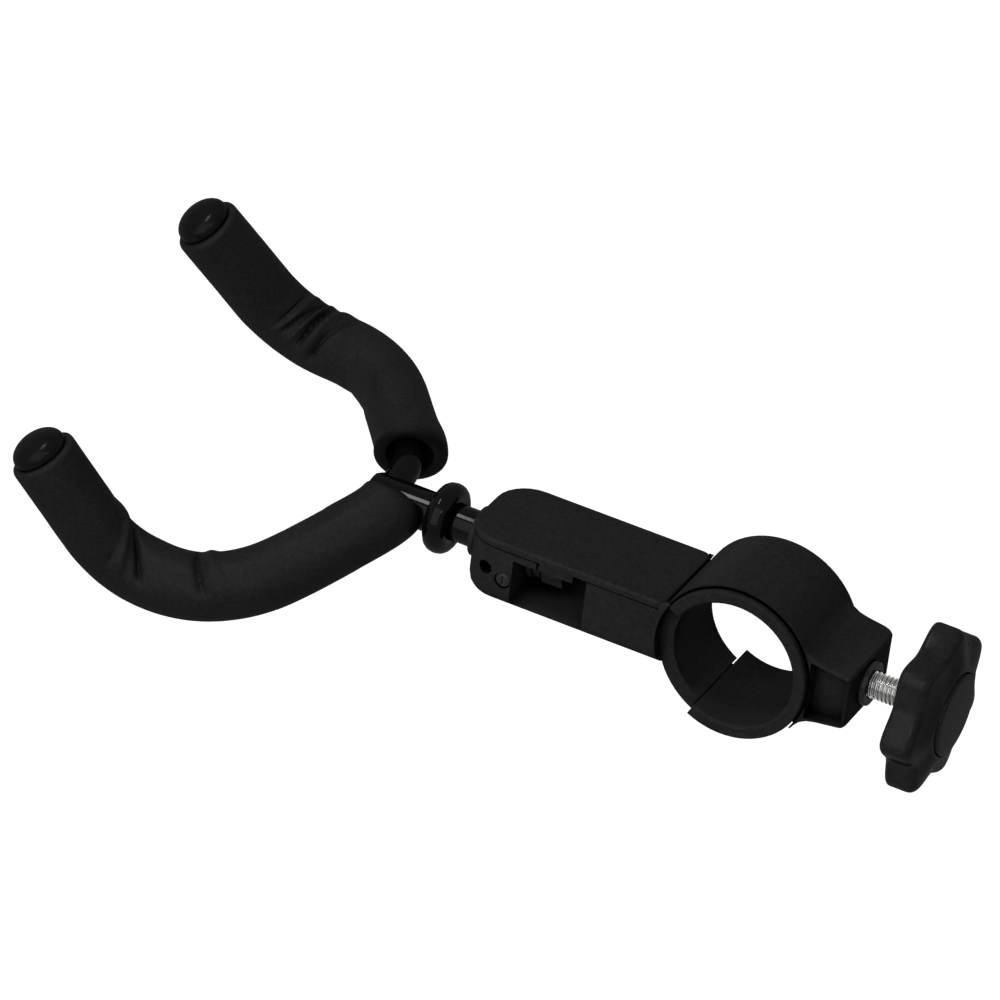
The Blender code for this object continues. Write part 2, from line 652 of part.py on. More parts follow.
def make_knob_fittings(mats, parent):
    """The moulded-in brass bush and the cap of the knob."""
    back = KNOB_BACK_X - KNOB_BOSS
    start = back + 0.0004 + GAP
    end = back + KNOB_INSERT + 0.0012 - GAP
    bore = THREAD_R + GAP
    loop = [(start, bore), (start, KNOB_INSERT_R - 0.0005), (start + 0.0005, KNOB_INSERT_R),
            (end, KNOB_INSERT_R), (end, bore)]
    bush = new_object("knob_bush", turned(loop, 32), mats["brass"])
    top = KNOB_BACK_X + KNOB_THICK + KNOB_DOME
    proud = KNOB_CAP_PROUD
    profile = [(top - KNOB_CAP + GAP, KNOB_CAP_R), (top + 0.4 * proud, KNOB_CAP_R), (top + proud, KNOB_CAP_R - 0.0008)]
    cap = new_object("knob_cap", solid_turned(profile, ROUND_STEPS), mats["plastic"])
    for piece in (bush, cap):
        piece.parent = parent


# ---------------------------------------------------------------- yoke

def bent_path(points, radii):
    """A smooth path through straight runs and round bends."""
    path = [points[0]]
    for i in range(1, len(points) - 1):
        before = (points[i - 1] - points[i])
        after = (points[i + 1] - points[i])
        half = 0.5 * before.angle(after)
        reach = min(radii[i - 1] / math.tan(half), 0.49 * before.length, 0.49 * after.length)
        before.normalize()
        after.normalize()
        radius = reach * math.tan(half)
        centre = points[i] + (before + after).normalized() * (radius / math.sin(half))
        first = points[i] + before * reach - centre
        last = points[i] + after * reach - centre
        sweep = first.angle(last)
        steps = 7
        for k in range(steps + 1):
            t = k / steps
            mix = (first * math.sin((1 - t) * sweep) + last * math.sin(t * sweep)) / math.sin(sweep)
            path.append(centre + mix)
    path.append(points[-1])
    return path


def yoke_arm(side):
    """Centre line of one arm from the hub to the tip, in the swivel's own frame."""
    points = [Vector((0.0, 0.0, 0.0))]
    points += [Vector((-f, s * side, u)) for f, s, u, _ in BENDS]
    points.append(Vector((-TIP[0], TIP[1] * side, TIP[2])))
    shift = Vector((HUB_X, 0.0, 0.0))
    return [p + shift for p in bent_path(points, [b[3] for b in BENDS])]


def trim(path, start):
    """The part of a path from a length along it to its end, evenly divided."""
    lengths = [0.0]
    for a, b in zip(path, path[1:]):
        lengths.append(lengths[-1] + (b - a).length)
    total = lengths[-1]
    count = max(2, int((total - start) / PATH_STEP))
    out = []
    for i in range(count + 1):
        want = start + (total - start) * i / count
        k = 0
        while k < len(lengths) - 2 and lengths[k + 1] < want:
            k += 1
        out.append(path[k].lerp(path[k + 1], (want - lengths[k]) / (lengths[k + 1] - lengths[k])))
    return out


def frames(path):
    """Tangent and side directions along a path, without twist."""
    out = []
    side = Vector((0.0, 0.0, 1.0))
    for i, p in enumerate(path):
        tangent = (path[min(i + 1, len(path) - 1)] - path[max(i - 1, 0)]).normalized()
        side = (side - tangent * side.dot(tangent)).normalized()
        out.append((p, tangent, side, tangent.cross(side)))
    return out


def tube_ring(frame, radius, sides, shift=0.0):
    """One ring of a tube."""
    p, tangent, u, v = frame
    ring = []
    for i in range(sides):
        a = 2 * math.pi * i / sides
        ring.append(p + tangent * shift + (u * math.cos(a) + v * math.sin(a)) * radius)
    return ring


def make_rod(mats, parent):
    """The bent rod, from tip to tip."""
    near = trim(yoke_arm(-1.0), 0.0)
    far = trim(yoke_arm(1.0), 0.0)
    path = list(reversed(near)) + far[1:]
    rings = [tube_ring(f, ROD_R, ROD_SIDES) for f in frames(path)]
    rod = new_object("yoke_rod", loft(rings), mats["paint"])
    rod.parent = parent
    return rod


def make_sleeve(name, side, start, mats, parent):
    """A foam sleeve: a thick tube on the rod, wider inside at its mouth."""
    line = frames(trim(yoke_arm(side), start))
    outer = [tube_ring(f, FOAM_R, FOAM_SIDES) for f in line]
    outer.insert(0, tube_ring(line[0], FOAM_R - 0.0008, FOAM_SIDES, -0.0006))
    fit = ROD_R + GAP
    inner = []
    run = 0.0
    for i, f in enumerate(line):
        if i:
            run += (f[0] - line[i - 1][0]).length
        widen = max(0.0, 1.0 - run / FOAM_MOUTH)
        inner.append(tube_ring(f, fit + (FOAM_MOUTH_R - fit) * widen, FOAM_SIDES))
    inner.insert(0, tube_ring(line[0], FOAM_MOUTH_R + 0.0004, FOAM_SIDES, -0.0006))
    for i in (-1, -2, -3):
        inner[i] = tube_ring(line[i], CAP_SKIRT_R + GAP, FOAM_SIDES)
    sleeve = new_object(name, loft(outer + list(reversed(inner)), closed=True), mats["foam"])
    sleeve.parent = parent
    return sleeve


def make_cap(name, side, mats, parent):
    """A domed cap on the rod's end, with a skirt inside the foam."""
    path = yoke_arm(side)
    end = path[-1]
    tangent = (path[-1] - path[-2]).normalized()
    bore = ROD_R + GAP
    face = GAP
    loop = [(-CAP_SKIRT, bore), (-CAP_SKIRT, CAP_SKIRT_R), (face, CAP_SKIRT_R), (face, CAP_R)]
    dome = [(face + 0.0008, CAP_R)]
    for i in range(1, 6):
        a = 0.5 * math.pi * i / 6
        dome.append((face + 0.0008 + (CAP_HEIGHT - 0.0008) * math.sin(a), CAP_R * math.cos(a)))
    profile = loop + dome
    rings = [[Vector((along, r * math.cos(t), r * math.sin(t))) for t in
              (2 * math.pi * i / FOAM_SIDES for i in range(FOAM_SIDES))] for along, r in profile]
    rings.append([Vector((face, bore * math.cos(t), bore * math.sin(t))) for t in
                  (2 * math.pi * i / FOAM_SIDES for i in range(FOAM_SIDES))])
    bm = bmesh.new()
    rows = [[bm.verts.new(p) for p in ring] for ring in rings]
    count = FOAM_SIDES
    for low, high in zip(rows[:-1], rows[1:-1]):
        for i in range(count):
            j = (i + 1) % count
            bm.faces.new((low[i], low[j], high[j], high[i]))
    bm.faces.new(rows[-2])
    for i in range(count):
        j = (i + 1) % count
        bm.faces.new((rows[0][i], rows[0][j], rows[-1][j], rows[-1][i]))
    bm.faces.new(rows[-1])
    turn = Vector((1.0, 0.0, 0.0)).rotation_difference(tangent).to_matrix().to_4x4()
    bmesh.ops.transform(bm, matrix=Matrix.Translation(end) @ turn, verts=bm.verts)
    cap = new_object(name, bm, mats["rubber"])
    cap.parent = parent
    return cap


def make_shaft(mats, parent):
    """The swivel shaft: a head that the rod passes through, a neck and a threaded journal."""
    step = ARM_FRONT_X - GAP - BUSH_FLANGE - GAP
    shoulder = COLLAR_X - COLLAR_THICK * 0.5 - GAP
    end = nut_end() + THREAD_PROUD
    first = HUB_X - HEAD_REACH
    profile = [(first, HEAD_R - 0.002), (first + 0.0007, HEAD_R - 0.0007), (first + 0.0022, HEAD_R),
               (shoulder, HEAD_R), (shoulder, SHAFT_R), (step, SHAFT_R),
               (step, JOURNAL_R), (end - 0.0006, JOURNAL_R), (end, JOURNAL_R - 0.0006)]
    shaft = new_object("swivel_shaft", solid_turned(profile, 32), mats["paint"])
    hole = solid_turned([(-0.02, ROD_R + GAP), (0.02, ROD_R + GAP)], SMALL_STEPS, "Y", (HUB_X, 0.0, 0.0))
    rod_hole = cutter("rod_hole", hole)
    combine(shaft, rod_hole)
    for piece in (shaft, rod_hole):
        piece.parent = parent
    return shaft


def nut_start():
    """Where the shaft nut begins, behind the washers."""
    return NOSE_END_X + GAP + WASHER_THICK + GAP + SPRING_THICK + GAP


def nut_end():
    """Where the shaft nut ends."""
    return nut_start() + NUT_THICK


def make_thrust_collar(mats, parent):
    """The thick collar with round edges on the shaft's neck."""
    half = COLLAR_THICK * 0.5
    r = COLLAR_ROUND
    bore = SHAFT_R + GAP
    loop = [(COLLAR_X - half, bore)]
    loop += arc((COLLAR_X - half + r, COLLAR_R - r), r, 180, 90, 4)
    loop += arc((COLLAR_X + half - r, COLLAR_R - r), r, 90, 0, 4)
    loop.append((COLLAR_X + half, bore))
    collar = new_object("thrust_collar", turned(loop, ROUND_STEPS), mats["paint"])
    collar.parent = parent
    return collar


def make_bush(mats):
    """The flanged bush in the arm's nose."""
    inner = JOURNAL_R + GAP
    face = ARM_FRONT_X - GAP
    end = NOSE_END_X
    loop = [(face - BUSH_FLANGE, inner), (face - BUSH_FLANGE, BUSH_FLANGE_R), (face, BUSH_FLANGE_R),
            (face, BUSH_R), (end, BUSH_R), (end, inner)]
    return new_object("front_bush", turned(loop, 32, centre=(0.0, 0.0, SHAFT_Z)), mats["nylon"])


def make_grub_screw(mats):
    """The screw in the arm's side that keeps the bush in place."""
    head = -ARM_HALF_Y + GRUB_SUNK
    tip = -BUSH_R - GAP
    profile = [(head, GRUB_R - 0.0003), (head + 0.0003, GRUB_R), (tip, GRUB_R)]
    screw = new_object("bush_grub_screw", solid_turned(profile, SMALL_STEPS, "Y", (GRUB_X, 0.0, SHAFT_Z)),
                       mats["dark_steel"])
    socket = [(head - 0.001, 0.0010), (head + 0.0022, 0.0010)]
    combine(screw, cutter("grub_socket", solid_turned(socket, 6, "Y", (GRUB_X, 0.0, SHAFT_Z))))
    return screw


def make_lock_screw(mats):
    """The second screw beside it, with a cross slot in its bright head."""
    seat = -ARM_HALF_Y + LOCK_HEAD - GAP
    face = seat - LOCK_HEAD + GAP
    tip = -BUSH_R - GAP
    profile = [(face, LOCK_HEAD_R - 0.0006), (face + 0.0005, LOCK_HEAD_R), (seat, LOCK_HEAD_R), (seat, LOCK_R),
               (tip, LOCK_R)]
    form = solid_turned(profile, SMALL_STEPS, "Y", (LOCK_X, 0.0, LOCK_Z))
    screw = new_object("bush_lock_screw", form, mats["zinc"])
    arm = 0.0013
    half = 0.0003
    for tag, along, across in (("lock_slot_a", arm, half), ("lock_slot_b", half, arm)):
        slot = box(LOCK_X - along, LOCK_X + along, face - PAST, face + 0.0008,
                   LOCK_Z - across, LOCK_Z + across)
        combine(screw, cutter(tag, slot))
    return screw


def ring_piece(name, start, thick, outer, mat, steps=32):
    """A plain washer on the swivel's journal."""
    inner = JOURNAL_R + GAP
    loop = [(start, inner), (start, outer), (start + thick, outer), (start + thick, inner)]
    return new_object(name, turned(loop, steps, centre=(0.0, 0.0, SHAFT_Z)), mat)


def make_retainers(mats, parent):
    """The washers and the nut that keep the shaft in the arm."""
    first = NOSE_END_X + GAP
    ring_piece("thrust_washer", first, WASHER_THICK, WASHER_R, mats["dark_steel"])
    second = first + WASHER_THICK + GAP
    inner = JOURNAL_R + GAP
    back = second + SPRING_THICK
    loop = [(second, inner), (second, SPRING_R), (back, SPRING_R), (back, inner)]
    spring = new_object("spring_washer", turned(loop, 30, 8.0, 352.0), mats["dark_steel"])
    start = nut_start()
    corner = NUT_FLATS / math.sqrt(3.0)
    hexagon = [(corner * math.cos(math.radians(60 * i + 30)), corner * math.sin(math.radians(60 * i + 30)))
               for i in range(6)]
    form = loft([[(x, y, z) for y, z in hexagon] for x in (start, start + NUT_THICK)])
    nut = new_object("shaft_nut", form, mats["dark_steel"])
    chamfer = nut.modifiers.new("edges", "BEVEL")
    chamfer.width = 0.0004
    chamfer.segments = 2
    hole = [(start - PAST, inner), (start + NUT_THICK + PAST, inner)]
    bore = cutter("nut_bore", solid_turned(hole, SMALL_STEPS))
    combine(nut, bore)
    for piece in (spring, nut, bore):
        piece.parent = parent


# ---------------------------------------------------------------- build

def main():
    """Build the whole hanger."""
    for obj in list(bpy.data.objects):
        bpy.data.objects.remove(obj, do_unlink=True)
    mats = make_materials()
    swivel = axis_empty("swivel_axis", (0.0, 0.0, SHAFT_Z), ROLL)
    clamp = axis_empty("clamp_axis", (0.0, 0.0, 0.0))
    make_arm(mats)
    make_cover(mats)
    make_cover_screws(mats)
    make_collar(mats)
    make_jaw(mats)
    make_insert(mats)
    make_shoe(mats, clamp)
    make_screw(mats, clamp)
    make_knob(mats, clamp)
    make_knob_fittings(mats, clamp)
    make_bush(mats)
    make_grub_screw(mats)
    make_lock_screw(mats)
    make_shaft(mats, swivel)
    make_thrust_collar(mats, swivel)
    make_retainers(mats, swivel)
    make_rod(mats, swivel)
    make_sleeve("foam_sleeve_near", -1.0, FOAM_START_NEAR, mats, swivel)
    make_sleeve("foam_sleeve_far", 1.0, FOAM_START_FAR, mats, swivel)
    make_cap("end_cap_near", -1.0, mats, swivel)
    make_cap("end_cap_far", 1.0, mats, swivel)


main()
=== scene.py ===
import json
import math

import bmesh
import bpy
from bpy.props import FloatProperty, FloatVectorProperty, IntProperty, PointerProperty
from mathutils import Matrix, Vector, noise


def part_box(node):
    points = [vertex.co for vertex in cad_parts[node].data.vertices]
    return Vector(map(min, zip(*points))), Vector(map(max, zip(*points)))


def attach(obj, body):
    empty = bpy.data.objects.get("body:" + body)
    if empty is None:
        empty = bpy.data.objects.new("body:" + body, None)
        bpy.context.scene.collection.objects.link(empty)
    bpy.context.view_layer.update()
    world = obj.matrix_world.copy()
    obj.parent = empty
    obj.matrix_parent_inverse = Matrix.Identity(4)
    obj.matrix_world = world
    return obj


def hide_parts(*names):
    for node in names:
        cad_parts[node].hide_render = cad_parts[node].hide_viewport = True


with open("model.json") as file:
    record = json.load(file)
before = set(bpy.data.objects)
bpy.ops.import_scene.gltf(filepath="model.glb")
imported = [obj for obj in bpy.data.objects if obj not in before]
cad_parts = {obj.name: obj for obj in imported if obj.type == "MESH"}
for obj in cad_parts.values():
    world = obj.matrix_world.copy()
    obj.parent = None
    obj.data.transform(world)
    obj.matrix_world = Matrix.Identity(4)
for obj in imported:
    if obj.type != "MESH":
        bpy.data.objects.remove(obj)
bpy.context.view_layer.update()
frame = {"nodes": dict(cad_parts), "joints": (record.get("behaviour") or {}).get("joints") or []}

bl_info = {
    "name": "Tube-clamp guitar hanger",
    "version": (1, 0, 0),
    "blender": (4, 5, 0),
    "location": "View3D > Sidebar > Hanger",
    "description": "Pieces, finishes and stage of a guitar hanger that clamps on a tube",
    "category": "Object",
}

MM = 0.001
SWIVEL_PLACE = next(Vector(j["pos_m"]) for j in frame["joints"] if j["name"] == "yoke_swivel")
KNOB_LOW, KNOB_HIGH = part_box("knob_body")
SCREW_LOW, SCREW_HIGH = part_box("clamp_screw")
CAP_LOW, CAP_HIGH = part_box("knob_cap")

# place of the yoke's hub along x
HUB_X = -0.1182
# centre line of one arm of the yoke: forward, sideways and up from the hub, and each bend's radius
ARM_BENDS = (
    (0.0000, 0.0158, 0.0000, 0.026),
    (0.0274, 0.0470, -0.0067, 0.040),
    (0.0599, 0.0500, -0.0096, 0.030),
)
ARM_TIP = (0.0840, 0.0476, 0.0282)
NEAR, FAR = -1.0, 1.0

# a foam sleeve's rings: the points in each, and how far apart they are along the arm
SLEEVE_SIDES = 90
SLEEVE_STEP = 0.55 * MM
# its edges at the mouth and at the tip: how far the rounding runs, and how far it sets the skin back
LIP_ROUND, LIP_BACK = 1.1 * MM, 0.605 * MM
TIP_ROUND, TIP_BACK = 1.6 * MM, 0.9 * MM
# its skin's unevenness: height, and waves to a metre
UNEVEN = ((0.10 * MM, 70.0), (0.03 * MM, 320.0))
# its bore: the gap round the rod, and the wider seat of the end cap
ROD_GAP = 0.3 * MM
CAP_SEAT_RADIUS, CAP_SEAT_DEPTH = 6.5 * MM, 6.9 * MM
# the cut face at its mouth: how far the first and last of three rings are set in, and each one's dome
RIM_IN, RIM_OUT = 0.5 * MM, 0.9 * MM
RIM_DOME = (-0.25 * MM, -0.55 * MM, -0.40 * MM)
# how far in from the mouth the flare, the mouth's shift and the rise of the run behind it fade out, and
# over how many rings the painted shade on the cut face does
FLARE_RUN, MOUTH_RUN, RISE_RUN = 7.0 * MM, 14.0 * MM, 34.0 * MM
CUT_SHADE_RINGS = 4.0
# each mouth at the hub: its flare, its push out along the arm, the lean of its cut, how far it is drawn
# aside, and how far the run behind it rises
MOUTHS = {
    NEAR: (0.1 * MM, 1.2 * MM, 2.0 * MM, Vector((4.8, 0.0, 0.9)) * MM, Vector((-0.8, 0.0, 1.8)) * MM),
    FAR: (1.3 * MM, 0.0, 0.0, Vector(), Vector()),
}

# folds in the foam: bend that they are inside of, place along the arm, lean, depth, half width, and
# the first and last angle round the sleeve from the inside of the bend
FOLDS = {
    NEAR: ((2, 0.0890, 0.0098, 0.0022, 0.0012, -68, 60), (2, 0.0633, 0.0028, 0.0019, 0.0010, -60, 60),
           (2, 0.0940, 0.0090, 0.0005, 0.0014, -75, 20), (2, 0.0985, 0.0060, 0.0005, 0.0010, -75, -30)),
    FAR: ((2, 0.0713, -0.0049, 0.0019, 0.0010, -80, 50), (2, 0.0668, -0.0049, 0.0006, 0.0030, -80, 30),
          (2, 0.0801, -0.0021, 0.0015, 0.0009, -65, 60), (2, 0.0856, -0.0052, 0.0012, 0.0009, -60, 60),
          (2, 0.0918, -0.0018, 0.0009, 0.0009, -55, 60), (1, 0.0575, 0.0, 0.0005, 0.0020, -60, 70),
          (1, 0.0420, 0.0, 0.0004, 0.0025, -60, 70)),
}
FOLD_FADE = math.radians(22.0)
# soft swellings between folds: bend, from, to, lean, height
PUFFS = {
    NEAR: ((2, 0.0905, 0.1000, 0.0080, 0.0009), (2, 0.0650, 0.0875, 0.0060, 0.0004),
           (2, 0.0545, 0.0622, 0.0028, 0.0008)),
    FAR: ((2, 0.0725, 0.0793, -0.0035, 0.0010), (2, 0.0808, 0.0848, -0.0035, 0.0008),
          (2, 0.0864, 0.0912, -0.0035, 0.0006)),
}

# the rod's mesh: the points in a ring, and how far apart the rings are
ROD_SIDES, ROD_STEP = 32, 1.4 * MM
# an end cap: the points in a ring, the fullness of its dome and the small flat on top
END_CAP_SIDES, DOME_FULLNESS, TIP_FLAT = 56, 0.92, 0.35 * MM
# the knob: points of its outline in each lobe, and the narrowness of its valleys
LOBE_STEPS, VALLEY_SHAPE = 24, 0.8
# the clamp screw: the plain lengths at its point and its head, the chamfer of the point, its points in a
# ring and rings in a turn of thread, and the half crest and the flank as shares of the pitch
PLAIN_POINT, PLAIN_HEAD = 13.0 * MM, 2.0 * MM
POINT_EDGE, POINT_IN = 0.6 * MM, 0.4 * MM
SCREW_SIDES, TURN_STEPS = 40, 12.0
CREST_HALF, FLANK = 0.09, 0.30

# the four castings, each with its share of the edges' rounding
CASTINGS = {"arm_body": 1.0, "arm_cover": 1.0, "clamp_collar": 0.6, "clamp_jaw": 0.4}
# the small parts that keep their form, each with its finish
HARDWARE = {
    "shaft_nut": "dark_steel", "thrust_washer": "dark_steel", "spring_washer": "dark_steel",
    "block_insert": "dark_steel", "bush_lock_screw": "dark_steel", "bush_grub_screw": "dark_steel",
    "knob_bush": "brass", "pressure_shoe": "nylon", "front_bush": "nylon",
}
COVER_SCREWS = ("cover_screw_front", "cover_screw_rear_near", "cover_screw_rear_far")

# each lamp: its direction and distance from the target, its width and height, and the setting of its level
LAMPS = {
    "front_lamp": ((-0.12, -0.88, 0.46), 1.3, (1.5, 1.3), "key_level"),
    "overhead_lamp": ((-0.382, -0.18, 0.84), 0.94, (0.10, 0.30), "top_level"),
    "small_lamp": ((0.45, -0.60, 0.66), 1.0, (0.08, 0.08), "spark_level"),
}
FLOOR_HALF = 4.0
FLOOR_GREY = 0.30

# on the frame's own meshes: points closer than this are one, faces within this angle are one flat face,
# and edges sharper than this are rounded
WELD_GAP = 0.001 * MM
FLAT_ANGLE = math.radians(0.4)
EDGE_ANGLE = math.radians(28.0)


# ------------------------------------------------------------------ settings

class YokeSettings(bpy.types.PropertyGroup):
    """Sizes of the padded yoke."""
    roll: FloatProperty(name="Roll", description="How far the yoke is turned on its swivel",
                        default=math.radians(20.3), subtype="ANGLE")
    rod_radius: FloatProperty(name="Rod radius", description="Radius of the bent rod",
                              default=4.5 * MM, unit="LENGTH", precision=5)
    foam_radius: FloatProperty(name="Foam radius", description="Outer radius of the foam sleeves",
                               default=10.0 * MM, unit="LENGTH", precision=5)
    mouth_radius: FloatProperty(name="Mouth radius", description="Inner radius of a sleeve's open end",
                                default=6.9 * MM, unit="LENGTH", precision=5)
    start_near: FloatProperty(name="Near start", description="Where the near sleeve starts, from the hub",
                              default=6.9 * MM, unit="LENGTH", precision=5)
    start_far: FloatProperty(name="Far start", description="Where the far sleeve starts, from the hub",
                             default=16.5 * MM, unit="LENGTH", precision=5)
    cap_radius: FloatProperty(name="Cap radius", description="Radius of the end caps",
                              default=8.2 * MM, unit="LENGTH", precision=5)
    cap_height: FloatProperty(name="Cap height", description="How far an end cap stands out",
                              default=5.8 * MM, unit="LENGTH", precision=5)


class ClampSettings(bpy.types.PropertyGroup):
    """Sizes of the clamp screw, the knob and the castings' edges."""
    casting_edge: FloatProperty(name="Casting edge", description="Rounding of the castings' edges",
                                default=0.35 * MM, unit="LENGTH", precision=5)
    hardware_edge: FloatProperty(name="Hardware edge", description="Rounding of the small parts' edges",
                                 default=0.15 * MM, unit="LENGTH", precision=5)
    knob_radius: FloatProperty(name="Knob radius", description="Radius over the knob's lobes",
                               default=25.0 * MM, unit="LENGTH", precision=5)
    knob_valley: FloatProperty(name="Knob valley", description="Depth between two lobes",
                               default=4.2 * MM, unit="LENGTH", precision=5)
    knob_lobes: IntProperty(name="Knob lobes", description="Number of lobes", default=7, min=3, max=16)
    knob_phase: FloatProperty(name="Knob phase", description="Angle of the first lobe",
                              default=math.radians(183.0), subtype="ANGLE")
    thread_radius: FloatProperty(name="Thread radius", description="Outer radius of the screw's thread",
                                 default=4.0 * MM, unit="LENGTH", precision=5)
    thread_pitch: FloatProperty(name="Thread pitch", description="Pitch of the screw's thread",
                                default=1.25 * MM, unit="LENGTH", precision=5)
    thread_depth: FloatProperty(name="Thread depth", description="Depth of the screw's thread",
                                default=0.6 * MM, unit="LENGTH", precision=5)


class FinishSettings(bpy.types.PropertyGroup):
    """Colours of the finishes."""
    casting: FloatVectorProperty(name="Powder coat", description="Colour of the powder-coated castings",
                                 default=(0.0150, 0.0150, 0.0150), subtype="COLOR")
    paint: FloatVectorProperty(name="Gloss paint", description="Colour of the rod and the swivel",
                               default=(0.0022, 0.0022, 0.0022), subtype="COLOR")
    foam: FloatVectorProperty(name="Foam", description="Colour of the foam sleeves",
                              default=(0.0100, 0.0100, 0.0100), subtype="COLOR")
    rubber: FloatVectorProperty(name="Rubber", description="Colour of the end caps",
                                default=(0.0042, 0.0042, 0.0042), subtype="COLOR")
    plastic: FloatVectorProperty(name="Knob plastic", description="Colour of the knob",
                                 default=(0.0115, 0.0115, 0.0115), subtype="COLOR")
    zinc: FloatVectorProperty(name="Zinc", description="Colour of the zinc-plated parts",
                              default=(0.36, 0.36, 0.355), subtype="COLOR")
    steel: FloatVectorProperty(name="Black steel", description="Colour of the blackened screw",
                               default=(0.022, 0.022, 0.023), subtype="COLOR")
    brass: FloatVectorProperty(name="Brass", description="Colour of the knob's bush",
                               default=(0.60, 0.45, 0.20), subtype="COLOR")
    nylon: FloatVectorProperty(name="Nylon", description="Colour of the bush and the shoe",
                               default=(0.014, 0.014, 0.014), subtype="COLOR")


class StageSettings(bpy.types.PropertyGroup):
    """Camera, lamps and floor."""
    azimuth: FloatProperty(name="Azimuth", description="Camera's place, round from the near side",
                           default=math.radians(21.3), subtype="ANGLE")
    elevation: FloatProperty(name="Elevation", description="Camera's height angle",
                             default=math.radians(33.6), subtype="ANGLE")
    camera_roll: FloatProperty(name="Camera roll", description="Turn of the camera about its line of sight",
                               default=math.radians(7.141), subtype="ANGLE")
    distance: FloatProperty(name="Distance", description="Camera's distance from the clamp's bore",
                            default=2.08, unit="LENGTH")
    lens: FloatProperty(name="Lens", description="Focal length in millimetres", default=265.8)
    target: FloatVectorProperty(name="Target", description="Point that the camera looks at",
                                default=(-0.07719, -0.01334, 0.02349), subtype="XYZ", precision=5)
    floor_drop: FloatProperty(name="Floor drop", description="How far the floor is below the bore",
                              default=0.50, unit="LENGTH")
    key_level: FloatProperty(name="Key light", description="Level that the front lamp adds", default=1.00)
    top_level: FloatProperty(name="Top light", description="Level that the overhead lamp adds", default=0.42)
    spark_level: FloatProperty(name="Spark light", description="Level that the small lamp adds", default=0.10)
    sky_level: FloatProperty(name="Sky light", description="Level of the even light all round", default=0.11)


# ------------------------------------------------------------------ finishes

class Value:
    """A socket that Python's operators work on; an expression adds its Math nodes."""

    def __init__(self, nodes, socket):
        self.nodes = nodes
        self.socket = socket

    def _math(self, operation, first, second=None, clamp=False):
        inputs = {0: first} if second is None else {0: first, 1: second}
        return self.nodes.node("ShaderNodeMath", {"operation": operation, "use_clamp": clamp}, inputs)

    def __add__(self, other):
        return self._math("ADD", self, other)

    __radd__ = __add__

    def __sub__(self, other):
        return self._math("SUBTRACT", self, other)

    def __rsub__(self, other):
        return self._math("SUBTRACT", other, self)

    def __mul__(self, other):
        return self._math("MULTIPLY", self, other)

    __rmul__ = __mul__

    def clamped(self):
        """The same value, kept from 0 to 1."""
        return self._math("ADD", self, 0.0, clamp=True)

    def sine(self):
        """Its sine."""
        return self._math("SINE", self)


class Nodes:
    """Builds the nodes of one tree."""

    def __init__(self, tree):
        self.tree = tree
        tree.nodes.clear()

    def put(self, socket, value):
        """Sets a socket to a plain value, or links a Value to it."""
        if isinstance(value, Value):
            self.tree.links.new(value.socket, socket)
        else:
            socket.default_value = value

    def node(self, kind, settings=None, inputs=None, out=0):
        """Adds a node with its settings, then its sockets' values, and gives one of its outputs."""
        made = self.tree.nodes.new(kind)
        for key, value in (settings or {}).items():
            setattr(made, key, value)
        for key, value in (inputs or {}).items():
            self.put(made.inputs[key], value)
        return Value(self, made.outputs[out])


class Finish(Nodes):
    """One procedural material on a Principled shader."""

    def __init__(self, name, **constants):
        self.material = bpy.data.materials.new(name)
        self.material.use_nodes = True
        super().__init__(self.material.node_tree)
        self.shader = self.tree.nodes.new("ShaderNodeBsdfPrincipled")
        output = self.tree.nodes.new("ShaderNodeOutputMaterial")
        self.tree.links.new(self.shader.outputs[0], output.inputs["Surface"])
        for key, value in constants.items():
            self.shader.inputs[key.replace("_", " ")].default_value = value

    def grain(self, scale, detail=3.0):
        """Noise in the piece's own coordinates; scale is in waves to a metre."""
        place = self.node("ShaderNodeTexCoord", out="Object")
        return self.node("ShaderNodeTexNoise", None, {"Vector": place, "Scale": scale, "Detail": detail})

    def cells(self, scale):
        """Distance from the nearest cell's middle, for the skin of foam."""
        place = self.node("ShaderNodeTexCoord", out="Object")
        return self.node("ShaderNodeTexVoronoi", None, {"Vector": place, "Scale": scale})

    def edges(self, flat=0.53, gain=12.0):
        """A mask of the raised edges; flat is just above the pointiness of a plain face."""
        point = self.node("ShaderNodeNewGeometry", out="Pointiness")
        return ((point - flat) * gain).clamped()

    def uneven(self, scale, contrast, detail=3.0):
        """Grain with more contrast, from 0 to 1."""
        return ((self.grain(scale, detail) - 0.5) * contrast + 0.5).clamped()

    def recess(self, distance, closed=0.3, gain=1.6):
        """1 in the open, falling to 0 in a pocket; closed is the open share at which it gets there. This is
        painted shade from ambient occlusion.
        """
        share = self.node("ShaderNodeAmbientOcclusion", {"samples": 8}, {"Distance": distance}, out="AO")
        return ((share - closed) * gain).clamped()

    def mix(self, factor, first, second):
        """A colour between two colours; a colour mix has its two colours at 6 and 7, and its result at 2."""
        return self.node("ShaderNodeMix", {"data_type": "RGBA"},
                         {"Factor": factor, 6: (*first, 1.0), 7: (*second, 1.0)}, out=2)

    def colour(self, value):
        """Feeds the base colour."""
        self.put(self.shader.inputs["Base Color"], value)

    def rough(self, value):
        """Feeds the roughness."""
        self.put(self.shader.inputs["Roughness"], value)

    def bump(self, height, distance, strength):
        """Feeds the normal with a relief of so many metres."""
        relief = self.node("ShaderNodeBump", None, {"Height": height, "Distance": distance,
                                                    "Strength": strength})
        self.put(self.shader.inputs["Normal"], relief)


def scaled(colour, factor):
    """A colour, lighter or darker."""
    return tuple(min(1.0, c * factor) for c in colour)


